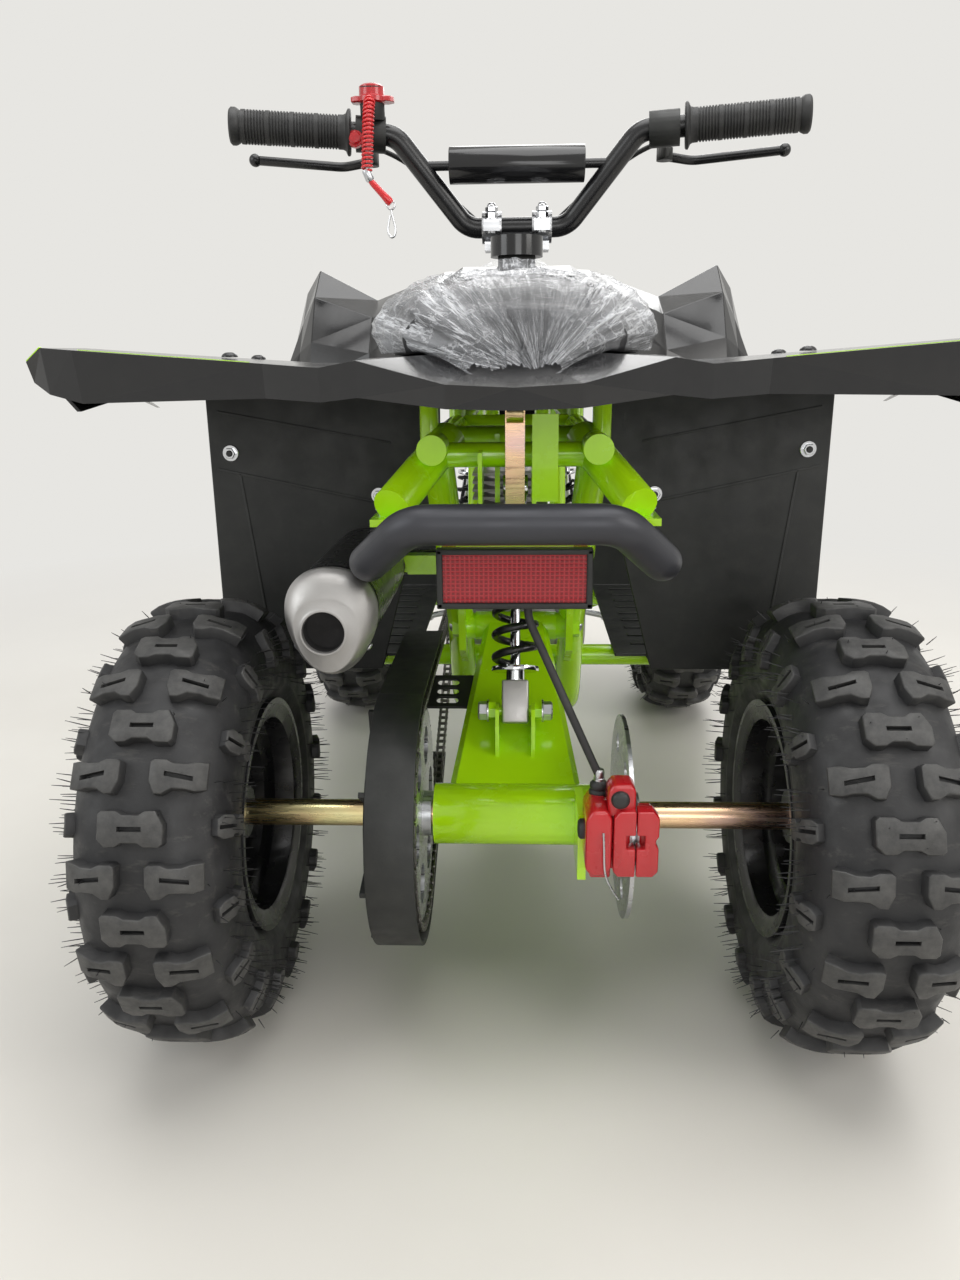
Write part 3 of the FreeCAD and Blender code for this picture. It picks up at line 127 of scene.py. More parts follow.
def bump(mat, height, strength, distance):
    values = {"Height": height, "Strength": strength, "Distance": distance}
    shade(mat, {"Normal": node(mat, "Bump", values).outputs["Normal"]})


DUST = (0.33, 0.31, 0.27)


def surface(name, color, rough, grain, strength, vary=0.15, depth=0.0002, dust=0.0, **more):
    """A finish with mottled colour, patchy roughness and a fine bumpy grain, and dust if asked."""
    mat = new_material(name, color, rough, **more)
    at = coordinates(mat)
    darker, lighter = ([min(1.0, c * (1 + change)) for c in color] for change in (-vary, vary))
    tone = mottled(mat, at, 14.0, darker, lighter)
    if dust:
        tone = blend_color(mat, spread(mat, noise(mat, at, 55.0, 8.0, 0.7), 0, dust, 0.45, 0.75), tone, DUST)
    patchy = spread(mat, noise(mat, at, 38.0, 6.0), rough * 0.8, min(1.0, rough * 1.25))
    shade(mat, {"Base Color": tone, "Roughness": patchy})
    bump(mat, noise(mat, at, grain, 3.0), strength, depth)
    return mat


def brushed(name, color, rough, along):
    """A metal with fine marks along one axis and slow changes of tone."""
    mat = new_material(name, color, rough, 1.0)
    marks = noise(mat, coordinates(mat, [6.0 if axis == along else 260.0 for axis in "xyz"]), 1.0, 3.0)
    tone = mottled(mat, coordinates(mat), 30.0, [c * 0.8 for c in color], color)
    shade(mat, {"Base Color": tone, "Roughness": spread(mat, marks, rough * 0.7, rough * 1.4)})
    bump(mat, marks, 0.12, 0.0001)
    return mat


def passivated(name):
    """Yellow zinc plating: gold with drifting pink and green tints."""
    mat = new_material(name, (0.78, 0.6, 0.3), 0.26, 1.0)
    ramp = node(mat, "ValToRGB", {"Fac": noise(mat, coordinates(mat, (9, 26, 26)), 1.0, 3.0)})
    stops = ((0.25, (0.62, 0.66, 0.36)), (0.42, (0.80, 0.66, 0.34)), (0.55, (0.86, 0.58, 0.36)),
             (0.68, (0.74, 0.50, 0.44)), (0.8, (0.60, 0.64, 0.42)))
    elements = ramp.color_ramp.elements
    while len(elements) < len(stops):
        elements.new(0.5)
    for element, (where, tint) in zip(elements, stops):
        element.position = where
        element.color = (*tint, 1)
    marks = noise(mat, coordinates(mat, (30, 400, 400)), 1.0, 3.0)
    shade(mat, {"Base Color": ramp.outputs["Color"], "Roughness": spread(mat, marks, 0.2, 0.36)})
    bump(mat, marks, 0.1, 0.0001)
    return mat


def tyre_rubber(name):
    """Black rubber with grey scuffs, and dust on the knobs' tops."""
    mat = new_material(name, (0.03, 0.03, 0.032), 0.6)
    at = coordinates(mat)
    tone = mottled(mat, at, 26.0, (0.009, 0.009, 0.010), (0.025, 0.025, 0.026), 7.0)
    scuffs = noise(mat, coordinates(mat, (30, 120, 120)), 1.0, 8.0, 0.7)
    tone = blend_color(mat, spread(mat, scuffs, 0, 0.5, 0.56, 0.8), tone, (0.12, 0.113, 0.10))
    tops = node(mat, "Attribute", attribute_name="worn").outputs["Fac"]
    dusty = combine(mat, "MULTIPLY", tops, spread(mat, noise(mat, at, 90.0, 8.0, 0.7), 0.15, 0.85))
    tone = blend_color(mat, dusty, tone, (0.088, 0.086, 0.081))
    shade(mat, {"Base Color": tone, "Roughness": spread(mat, noise(mat, at, 60.0, 5.0), 0.42, 0.72)})
    bump(mat, noise(mat, at, 500.0, 4.0), 0.3, 0.0004)
    return mat


def honeycomb_red(name):
    """A reflector: red plastic over rows of small cells."""
    mat = new_material(name, (0.4, 0.008, 0.014), 0.16, coat=0.3, coat_rough=0.04)
    cells = node(mat, "TexVoronoi", feature="DISTANCE_TO_EDGE")
    feed(mat, cells, {"Vector": coordinates(mat, (1, 1, 1.15)), "Scale": 330.0, "Randomness": 0.0})
    edge = spread(mat, cells.outputs["Distance"], 0, 1, 0.0, 0.3)
    shade(mat, {"Base Color": blend_color(mat, edge, (0.50, 0.018, 0.028), (0.22, 0.001, 0.005))})
    bump(mat, edge, 0.7, 0.0006)
    return mat


def ridges(mat, value, width):
    """Thin lines where a noise crosses its middle."""
    return spread(mat, combine(mat, "ABSOLUTE", combine(mat, "SUBTRACT", value, 0.5)), 1, 0, 0, width)


# x and z of the place that the film's pleats fan out from, in metres
FILM_FOCUS = (0.014, 0.487)


def clear_film(name):
    """Thin packing film: mostly clear, with milky pleats fanning out from where it is gathered; the white lines along
    the pleats are painted highlights, and its sides are whitened by a painted sheen.
    """
    mat = new_material(name, (0.86, 0.87, 0.89), 0.14)

    def times(a, b):
        return combine(mat, "MULTIPLY", a, b)

    def plus(a, b):
        return combine(mat, "ADD", a, b)

    at = coordinates(mat)
    x, y, z = node(mat, "SeparateXYZ", {0: at}).outputs
    dx, dz = (combine(mat, "SUBTRACT", value, middle) for value, middle in zip((x, z), FILM_FOCUS))
    angle, reach = combine(mat, "ARCTAN2", dz, dx), combine(mat, "SQRT", plus(times(dx, dx), times(dz, dz)))
    scaled = {0: times(angle, 7.0), 1: times(reach, 9.0), 2: times(y, 5.0)}
    fan = node(mat, "CombineXYZ", scaled).outputs[0]
    pleats, crinkle = noise(mat, fan, 1.6, 5.0, 0.62), noise(mat, at, 34.0, 6.0, 0.6)
    # painted highlights: white streaks along the ridges of the pleats and crinkles, made opaque in the film
    lines = combine(mat, "MAXIMUM", ridges(mat, pleats, 0.03), times(ridges(mat, crinkle, 0.022), 0.6))
    haze = spread(mat, noise(mat, fan, 0.7, 3.0), 0.10, 0.42, 0.35, 0.65)
    # a painted sheen, set in seat_film: the film is milky all over but clearer at the middle of its tail, so that its
    # sides look whiter
    milkiness_and_sheen = node(mat, "Attribute", attribute_name="milkiness_and_sheen").outputs["Fac"]
    cover = times(plus(times(lines, 0.5), haze), milkiness_and_sheen)
    shade(mat, {"Alpha": combine(mat, "MINIMUM", cover, 0.92)})
    bump(mat, plus(pleats, times(crinkle, 0.5)), 0.8, 0.004)
    return mat


# columns: colour, roughness, grain, strength of the grain, and what else differs from surface's own values
SURFACES = {
    "green_paint": ((0.50, 0.90, 0.006), 0.24, 90, 0.12, dict(vary=0.03, depth=0.0004, coat=0.7, coat_rough=0.06)),
    "black_plastic": ((0.008, 0.008, 0.009), 0.15, 160, 0.08, dict(dust=0.01, coat=0.12, coat_rough=0.05)),
    "matt_plastic": ((0.011, 0.012, 0.011), 0.5, 700, 0.3, dict(dust=0.03)),
    "black_paint": ((0.010, 0.010, 0.011), 0.27, 300, 0.12, dict()),
    "graphite_paint": ((0.045, 0.046, 0.053), 0.44, 600, 0.2, dict(vary=0.06, metal=0.4)),
    "rubber": ((0.018, 0.018, 0.018), 0.55, 800, 0.3, dict(dust=0.05)),
    "alloy": ((0.40, 0.39, 0.38), 0.46, 900, 0.35, dict(vary=0.12, depth=0.0003, metal=0.9)),
    "red_paint": ((0.50, 0.012, 0.018), 0.26, 260, 0.15, dict(vary=0.08, coat=0.5)),
    "lamp_lens": ((0.55, 0.58, 0.6), 0.08, 120, 0.4, dict(coat=1.0)),
    "vinyl": ((0.02, 0.02, 0.022), 0.42, 1100, 0.45, dict(depth=0.0004)),
    "red_cord": ((0.7, 0.016, 0.02), 0.3, 300, 0.1, dict(vary=0.06, coat=0.3)),
    "thread": ((0.035, 0.035, 0.037), 0.8, 900, 0.4, dict()),
    # soot, also painted shade at the closed bottom of the silencer's outlet
    "soot_and_shade": ((0.012, 0.011, 0.011), 0.85, 500, 0.4, dict()),
}
finish = {name: surface(name, color, rough, grain, strength, **more)
          for name, (color, rough, grain, strength, more) in SURFACES.items()}
finish["zinc"] = brushed("zinc", (0.62, 0.63, 0.65), 0.3, "x")
finish["chain_steel"] = brushed("chain_steel", (0.2, 0.19, 0.18), 0.42, "y")
finish["chrome"] = brushed("chrome", (0.72, 0.73, 0.75), 0.12, "z")
finish["yellow_zinc"] = passivated("yellow_zinc")
finish["tyre"] = tyre_rubber("tyre")
finish["red_lens"] = honeycomb_red("red_lens")
finish["film"] = clear_film("film")

slot_of = {part["node"]: part["material_slot"] for part in frame["record"]["subparts"]}
# how far the CAD pieces' sharp edges are rounded
ROUNDING = {
    1.5: ("fuel_tank", "front_caliper_left", "front_caliper_right"),
    1.3: ("rear_fender", "front_fender", "nose_panel"),
    1.2: ("foot_boards",),
    0.9: ("crankcase",),
    0.8: ("bar_pad", "rear_reflector"),
    0.7: ("swing_arm", "chain_guard"),
    0.6: ("steering_stem", "knuckle_left", "knuckle_right", "carburettor", "rear_rims", "front_rim_left",
          "front_rim_right", "hand_controls"),
    0.5: ("frame", "front_arms", "foot_bars"),
    0.4: ("seat_latch", "shock_absorbers", "brake_levers"),
    0.3: ("cylinder",),
}
rounding_of = {name: width for width, names in ROUNDING.items() for name in names}
for name, obj in frame["nodes"].items():
    obj.data.materials.clear()
    obj.data.materials.append(finish[slot_of[name]])
    if name in rounding_of:
        # joins the points that the import splits, so that the bevel sees whole edges
        obj.modifiers.new("Weld", "WELD").merge_threshold = 2e-6
        bevel = obj.modifiers.new("Bevel", "BEVEL")
        bevel.width = rounding_of[name] * MM
        bevel.segments = 2
        bevel.limit_method = "ANGLE"
        bevel.angle_limit = radians(32)
        bevel.harden_normals = True


# Shapes

def place(x, y, z):
    """A point in the row frame, in metres, from millimetres ahead of the rear axle."""
    return Vector((x * MM, AXLE_Y + y * MM, z * MM))


def to_row(points):
    """Points in the row frame, in metres, from a grid or list in millimetres from the rear axle."""
    points = np.asarray(points, float).reshape(-1, 3) * MM
    points[:, 1] += AXLE_Y
    return [tuple(p) for p in points]


def unit(v):
    """A vector, or each vector of a list, at length 1."""
    return v / np.linalg.norm(v, axis=-1, keepdims=True)


def arc_lengths(points):
    """The length along a line up to each of its points."""
    return np.concatenate([[0], np.cumsum(np.linalg.norm(np.diff(points, axis=0), axis=1))])


def angles(count):
    return [2 * pi * k / count for k in range(count)]


def added(name, data):
    """A new object in the scene."""
    obj = bpy.data.objects.new(name, data)
    bpy.context.scene.collection.objects.link(obj)
    return obj


def piece(name, mesh, slot, smooth=None, body="chassis"):
    """A mesh as a piece that rides on a body, with a slot's finish. Edges sharper than smooth stay sharp."""
    obj = added(name, mesh)
    obj.data.materials.append(finish[slot])
    if smooth is not None:
        obj.data.shade_smooth()
        if smooth < 180:
            obj.data.set_sharp_from_angle(angle=radians(smooth))
    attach(obj, body)
    return obj


def mesh_from(name, verts, faces):
    """A mesh from points in metres."""
    mesh = bpy.data.meshes.new(name)
    mesh.from_pydata([tuple(v) for v in verts], [], faces)
    mesh.validate()
    mesh.update()
    return mesh


def drawn(name, verts, faces, slot, smooth, body="chassis"):
    """A piece from points in millimetres and faces."""
    return piece(name, mesh_from(name, to_row(verts), faces), slot, smooth, body)


def grid_faces(rows, count, closed=True, looped=False):
    """Faces over rows of points. Closed joins each row's ends, and looped joins the last row to the first."""
    faces = []
    for j in range(rows if looped else rows - 1):
        a, b = j * count, (j + 1) % rows * count
        for i in range(count if closed else count - 1):
            n = (i + 1) % count
            faces.append((a + i, a + n, b + n, b + i))
    return faces


def capped(rows, count):
    """Faces over closed rows of points, with the first and last row filled."""
    last = (rows - 1) * count
    return grid_faces(rows, count) + [tuple(range(count))[::-1], tuple(range(last, last + count))]


def joined(parts):
    """Several (vertices, faces) pairs as one."""
    verts, faces = [], []
    for more, made in parts:
        faces += [tuple(len(verts) + i for i in face) for face in made]
        verts += list(more)
    return verts, faces


def finished(bm, name):
    mesh = bpy.data.meshes.new(name)
    bmesh.ops.recalc_face_normals(bm, faces=bm.faces)
    bm.to_mesh(mesh)
    bm.free()
    return mesh


def bridge(bm, a, b):
    """Faces between two rings of vertices."""
    for k in range(len(a)):
        n = (k + 1) % len(a)
        bm.faces.new((a[k], a[n], b[n], b[k]))


def turned(bm, start, axis, profile, count):
    """A solid turned about an axis, from (radius, height) pairs."""
    turn = Vector(axis).normalized().to_track_quat("Z", "Y").to_matrix().to_4x4()
    at = Matrix.Translation(place(*start)) @ turn
    rings = [[bm.verts.new(at @ Vector((r * cos(a), r * sin(a), h))) for a in angles(count)]
             for r, h in np.array(profile, float) * MM]
    for a, b in zip(rings, rings[1:]):
        bridge(bm, a, b)
    bm.faces.new(rings[0][::-1])
    bm.faces.new(rings[-1])


def turned_piece(name, parts, slot, count=32, smooth=35, body="chassis"):
    """One piece of several turned solids: (start, towards, [(radius, height), ...])."""
    bm = bmesh.new()
    for start, towards, profile in parts:
        turned(bm, start, np.subtract(towards, start), profile, count)
    return piece(name, finished(bm, name), slot, smooth, body)


def hardware(name, heads, slot, body="chassis"):
    """One piece of chamfered hexagon heads: (start, axis, size across, height, radius of the washer or 0)."""
    bm = bmesh.new()
    for start, axis, across, height, washer in heads:
        r, base = across / 3 ** 0.5, 0.0
        if washer:
            base = 1.4
            turned(bm, start, axis, [(washer, 0), (washer, 1), (washer - 0.4, base)], 24)
        turned(bm, start, axis, [(r, base), (r, base + height * 0.82), (r * 0.86, base + height)], 6)
        turned(bm, start, axis, [(across * 0.30, base + height), (across * 0.28, base + height * 1.02)], 12)
    return piece(name, finished(bm, name), slot, 30, body)


def studs(name, heads, slot, r):
    """One piece of round heads with a hexagon socket: (start, axis)."""
    bm = bmesh.new()
    for start, axis in heads:
        turned(bm, start, axis, [(r, 0)] + [(r * cos(a), r * 0.62 * sin(a)) for a in (0.25, 0.55, 0.85, 1.1)], 20)
        turned(bm, start, axis, [(r * 0.36, r * 0.56), (r * 0.3, r * 0.57)], 6)
    return piece(name, finished(bm, name), slot, 40)


def prisms(name, parts, slot, smooth=40):
    """One piece of several prisms: an outline, the vector it is drawn along and the rounding of its edges."""
    bm = bmesh.new()
    for outline, across, rounding in parts:
        one = bmesh.new()
        low = [one.verts.new(place(*p)) for p in outline]
        high = [one.verts.new(v.co + Vector(across) * MM) for v in low]
        one.faces.new(low[::-1])
        one.faces.new(high)
        bridge(one, low, high)
        bmesh.ops.recalc_face_normals(one, faces=one.faces)
        if rounding:
            bmesh.ops.bevel(one, geom=one.edges[:], offset=rounding * MM, segments=3, profile=0.5,
                            affect="EDGES", clamp_overlap=True)
        mesh = bpy.data.meshes.new("prism")
        one.to_mesh(mesh)
        one.free()
        bm.from_mesh(mesh)
        bpy.data.meshes.remove(mesh)
    return piece(name, finished(bm, name), slot, smooth)


def box_outline(x, z, y):
    """The corners of a box's face across Y, from (low, high) pairs."""
    return [(x[0], y, z[0]), (x[1], y, z[0]), (x[1], y, z[1]), (x[0], y, z[1])]


def nurbs(name, points):
    """A curve through or near control points, in their own unit."""
    curve = bpy.data.curves.new(name, "CURVE")
    curve.dimensions = "3D"
    spline = curve.splines.new("NURBS")
    spline.points.add(len(points) - 1)
    for point, p in zip(spline.points, points):
        point.co = (*p, 1)
    spline.order_u = 3
    spline.use_endpoint_u = True
    return curve


def tube(name, points, radius, slot, body="chassis", resolution=2, cyclic=False):
    """A round tube along a smooth line through control points."""
    curve = nurbs(name, to_row(points))
    curve.bevel_depth = radius * MM
    curve.bevel_resolution = resolution
    curve.use_fill_caps = True
    curve.resolution_u = 8
    curve.splines[0].use_endpoint_u = not cyclic
    curve.splines[0].use_cyclic_u = cyclic
    obj = added(name, curve)
    curve.materials.append(finish[slot])
    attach(obj, body)
    return obj


# Tyres

TYRE_R = (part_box("rear_tyre_left")[1].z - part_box("rear_tyre_left")[0].z) / 2 / MM
PITCHES, SECTORS = 16, 192
CROWN_R, TREAD_EDGE = 156.5, 46
# half section of the carcass as (x, radius), from the crown to the bead, and the lining that closes it at the rim
SECTION = [(0, CROWN_R), (12, 156.3), (22, 155.4), (31, 152.8), (38, 148.5), (44, 142.2), (48.3, 134), (50.6, 125),
           (51.2, 114), (50.2, 104), (48.2, 96), (46.4, 92.5), (45.2, 90.5), (44.0, 89.6), (43.2, 87.5)]
LINING = [(43.2, 76.5), (-43.2, 76.5)]
# where the wall has its points across, and the raised rib on it: from, to, height
WALL = [49, 52, 55, 58, 61, 66, 70, 74, 78, 82, 86, 89, 90.5, 92, 95, 99, 103]
RIB = (89.5, 92.5, 0.7)
# half length and half width of the slot cut in each knob, and its depth
SIPE, SIPE_DEPTH = (7.3, 1.45), 4.0
# a knob's rings as (how far its outline grows, height), and those of its top as (growth, drop below the top)
KNOB_RINGS = ((1.3, -1.5), (0.5, 0.4))
KNOB_TOP_RINGS = ((0.0, 1.0), (-0.55, 0.25), (-1.15, 0))
# knob outlines as (across, along)
CENTRE_KNOB = [(-19.5, -6), (-19.5, 8.5), (-17.5, 10.5), (-9, 10.5), (-5, 8.2), (5, 8.2), (9, 10.5), (15, 10.5),
               (19.5, 2), (19.5, -8.5), (17.5, -10.5), (9, -10.5), (5, -8.2), (-5, -8.2), (-9, -10.5), (-15, -10.5)]
SIDE_KNOB = [(9, -3), (9, 8.5), (11, 10), (18, 10), (22, 8), (29, 8), (34, 9.6), (40, 9.6), (40, -7.5), (34, -8.6),
             (29, -7.4), (22, -7.4), (17, -10.5), (12.5, -10.5)]
SHOULDER_KNOB = [(48, -5.5), (48, 5.5), (52, 8.5), (60, 8.5), (61.5, 6), (66, 6), (67.5, 8.5), (72, 8.5), (74, 6),
                 (74, -6), (72, -8.5), (67.5, -8.5), (66, -6), (61.5, -6), (60, -8.5), (52, -8.5)]
# moulding hairs in each pitch: on each shoulder as (across, along, length), and on the tread as (across, along)
SHOULDER_HAIRS = ((50, 0, 7), (55, 4, 8), (62, -5, 8), (64, 7, 7), (70, 0, 8), (73, 5, 6), (57, 31, 7), (63, 27, 8),
                  (66, 34, 7), (72, 30, 8), (43, 28, 6), (84, 12, 6), (86, 40, 5), (59, 14, 8), (68, 19, 9),
                  (75, 24, 8), (76, -8, 8))
TREAD_HAIRS = ((-14, 4), (6, -6), (15, 8), (28, 33), (-27, 30))
HAIR_RADII = (0.42, 0.38, 0.2)


def section_curve():
    """Arc length, (x, radius) and outward normal along the half section, finely spaced."""
    points = np.array(SECTION, float)
    fine = [a + (b - a) * s for a, b in zip(points, points[1:]) for s in np.linspace(0, 1, 6, endpoint=False)]
    fine = np.array(fine + [points[-1]])
    for _ in range(6):
        fine[1:-1] = (fine[:-2] + 2 * fine[1:-1] + fine[2:]) / 4
    tangent = unit(np.gradient(fine, axis=0))
    return arc_lengths(fine), fine, np.stack([-tangent[:, 1], tangent[:, 0]], 1)


ARC, CURVE, NORMAL = section_curve()


def on_tyre(across, along, height):
    """Points on the carcass: across from the crown, along the tread, height above it, about the tyre's centre."""
    across, along, height = (np.asarray(v, float) for v in (across, along, height))
    t = np.abs(across)
    x, r = (np.interp(t, ARC, CURVE[:, k]) + np.interp(t, ARC, NORMAL[:, k]) * height for k in (0, 1))
    angle = along / CROWN_R
    return np.stack([np.where(across < 0, -x, x), -r * np.sin(angle), -r * np.cos(angle)], -1)


def knob_template(outline, sipe_at, sipe_lean=0.0, height=8.5):
    """One knob in flat (across, along, height) space, with a chamfered rim and a cut slot."""
    bm = bmesh.new()
    outline = np.array(outline, float)
    centre = outline.mean(0)
    out = outline - centre
    length = np.linalg.norm(out, axis=1)[:, None]
    rings = [[bm.verts.new((x, y, h)) for x, y in centre + out * (1 + grow / length)]
             for grow, h in KNOB_RINGS + tuple((grow, height - drop) for grow, drop in KNOB_TOP_RINGS)]
    for a, b in zip(rings, rings[1:]):
        bridge(bm, a, b)
    hl, hw = SIPE
    slot = [(sipe_at[0] + x, sipe_at[1] + y + sipe_lean * x) for x, y in ((-hl, -hw), (hl, -hw), (hl, hw), (-hl, hw))]
    top, low = ([bm.verts.new((x, y, z)) for x, y in slot] for z in (height, height - SIPE_DEPTH))
    rim = rings[-1]
    edges = [bm.edges.get((a, b)) for a, b in zip(rim, rim[1:] + rim[:1])]
    edges += [bm.edges.new((a, b)) for a, b in zip(top, top[1:] + top[:1])]
    bmesh.ops.triangle_fill(bm, use_beauty=True, edges=edges)
    for k in range(4):
        n = (k + 1) % 4
        bm.faces.new((top[n], top[k], low[k], low[n]))
    bm.faces.new(low[::-1])
    bmesh.ops.recalc_face_normals(bm, faces=bm.faces)
    bm.verts.index_update()
    verts = np.array([v.co[:] for v in bm.verts])
    faces = [tuple(v.index for v in f.verts) for f in bm.faces]
    bm.free()
    return verts, faces


def hair_places():
    """Places of a tyre's moulding hairs as (across, along, length)."""
    hairs = []
    pitch = 2 * pi * CROWN_R / PITCHES
    for k in range(PITCHES):
        for side in SIDES:
            for across, along, length in SHOULDER_HAIRS:
                shift = rng.uniform(-2.5, 2.5, 2)
                hairs.append((side * (across + shift[0]), k * pitch + along + shift[1] * 2,
                              length * rng.uniform(0.9, 1.7)))
        for across, along in TREAD_HAIRS:
            hairs.append((across + rng.uniform(-3, 3), k * pitch + along, 4 * rng.uniform(0.6, 1.1)))
    return hairs


def hair(root, tip):
    lean = unit(tip - root)
    u = unit(np.cross(lean, (0.3, 0.5, 0.81)))
    w = np.cross(lean, u)
    centres = (root, root * 0.45 + tip * 0.55, tip)
    verts = [c + (u * cos(a) + w * sin(a)) * r for c, r in zip(centres, HAIR_RADII) for a in angles(3)]
    return verts, grid_faces(3, 3) + [(6, 7, 8)]


def tyre_mesh(name):
    """A carcass with ribbed walls, rows of knobs and thin moulding hairs, about its own centre."""
    half = list(np.linspace(0, TREAD_EDGE, 13)) + WALL + [ARC[-1]]
    row = [-t for t in half[::-1]] + half[1:]
    lift = [RIB[2] if RIB[0] < abs(t) < RIB[1] else 0.0 for t in row]
    circle = 2 * pi * CROWN_R
    carcass = []
    for k, a in enumerate(angles(SECTORS)):
        carcass += list(on_tyre(row, circle * k / SECTORS, lift))
        carcass += [np.array((x, -r * sin(a), -r * cos(a))) for x, r in LINING]
    parts = [(carcass, grid_faces(SECTORS, len(row) + len(LINING), looped=True))]
    worn = [0.0] * len(carcass)
    centre = knob_template(CENTRE_KNOB, (0, 0))
    side_row = knob_template(SIDE_KNOB, (25, 0.3), -0.18)
    shoulder = knob_template(SHOULDER_KNOB, (56.5, 0), 0.0, 6.0)
    for k in range(PITCHES):
        # columns: the knob, its side, its shift along in pitches
        for (verts, faces), side, shift in ((centre, 1, 0), (side_row, 1, 0.5), (side_row, -1, 0.5),
                                            (shoulder, 1, 0), (shoulder, -1, 0)):
            across, along, height = verts.T
            parts.append((on_tyre(across * side, along + (k + shift) * circle / PITCHES, height), faces))
            worn += list(np.clip((height / height.max() - 0.85) / 0.1, 0, 1))
    for across, along, length in hair_places():
        on_tread = abs(across) < TREAD_EDGE
        root = on_tyre(across, along, 6.0 if on_tread else 0.0)
        tip = on_tyre(across, along, length + (6.0 if on_tread else 3.0)) + rng.uniform(-1.2, 1.2, 3)
        # a hair that would reach past the CAD tyre is left out
        if tip[2] >= -TYRE_R and abs(tip[1]) <= TYRE_R:
            parts.append(hair(root, tip))
    verts, faces = joined(parts)
    mesh = mesh_from(name, np.array(verts) * MM, faces)
    tops = mesh.attributes.new("worn", "FLOAT", "POINT")
    tops.data.foreach_set("value", np.array(worn + [0.0] * (len(verts) - len(worn)), np.float32))
    return mesh


def tyres():
    for tyre, body in (("rear_tyre_left", "rear_axle_line"), ("rear_tyre_right", "rear_axle_line"),
                       ("front_tyre_left", "wheel_front_left"), ("front_tyre_right", "wheel_front_right")):
        low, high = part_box(tyre)
        obj = piece(tyre + "_tread", tyre_mesh(tyre + "_tread"), "tyre", 38, body)
        obj.location = (low + high) / 2
        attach(obj, body)
        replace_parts(obj, tyre)


# Seat and its packing film

# columns: distance ahead of the rear axle, half width at the base and at the top, height of the base and of the top
SEAT_ROWS = [(-36, 56, 44, 502, 517), (10, 80, 62, 502, 541), (100, 88, 68, 502, 557), (200, 88, 68, 502, 565),
             (300, 77, 57, 502, 573), (350, 70, 48, 504, 583), (384, 52, 34, 520, 593)]
# the film runs on over the tail, down the slope behind it, to a flat end
FILM_ROWS = [(-82, 24, 18, 489.5, 491.5), (-66, 34, 26, 495, 501), (-50, 50, 38, 500.5, 514),
             (-36, 62, 48, 502.5, 526), (-10, 74, 58, 502.5, 541)]
FILM_ROWS += [(y, a + 6, b + 5, max(c, 502.5), d + 4) for y, a, b, c, d in SEAT_ROWS[1:]]
SEAT_COUNT, FILM_COUNT = 61, 141
# where the seams lie: as a share of the half section, and ahead of the rear axle
EDGE_SEAM, CROSS_SEAMS = 0.46, (46, 318)
# the columns of the seat's grid that carry piping and stitches
PIPING, STITCHED = (("right", 16), ("left", 44)), [15, 17, 43, 45]


def smooth_through(xs, ys, at):
    """Values of a smooth line through points, with each slope taken from its neighbours."""
    slope = np.gradient(ys, xs, axis=0)
    k = np.clip(np.searchsorted(xs, at) - 1, 0, len(xs) - 2)
    h = (xs[k + 1] - xs[k])[:, None]
    t = (at - xs[k])[:, None] / h
    a, b, m, n = ys[k], ys[k + 1], slope[k] * h, slope[k + 1] * h
    return a * (1 + 2 * t) * (1 - t) ** 2 + m * t * (1 - t) ** 2 + b * t * t * (3 - 2 * t) + n * t * t * (t - 1)


def crowned_section(half, top_half, low, high, count):
    """Points (x, z) from the right base over the crown to the left base."""
    tall = high - low
    right = [(half, low), (half + 2, low + tall * 0.35), (top_half + 8, low + tall * 0.78),
             (top_half * 0.55, high - 1.5)]
    points = np.array(right + [(0, high)] + [(-x, z) for x, z in right[::-1]])
    along = arc_lengths(points)
    return smooth_through(along, points, np.linspace(0, along[-1], count))


def crowned_grid(rows, ys, count):
    """A grid of points [station, column, xyz] over a table of crowned sections."""
    table = np.array(rows, float)
    grid = []
    for y, sizes in zip(ys, smooth_through(table[:, 0], table[:, 1:], ys)):
        section = crowned_section(*sizes, count)
        grid.append(np.stack([section[:, 0], np.full(count, y), section[:, 1]], 1))
    return np.array(grid)


def grid_normals(grid):
    """Unit normals of a grid that face away from its middle line."""
    normal = np.cross(np.gradient(grid, axis=0), np.gradient(grid, axis=1))
    normal /= np.linalg.norm(normal, axis=2)[:, :, None] + 1e-9
    outward = grid - grid.mean(axis=1, keepdims=True)
    return normal * np.sign(np.sum(normal * outward, axis=(1, 2), keepdims=True))


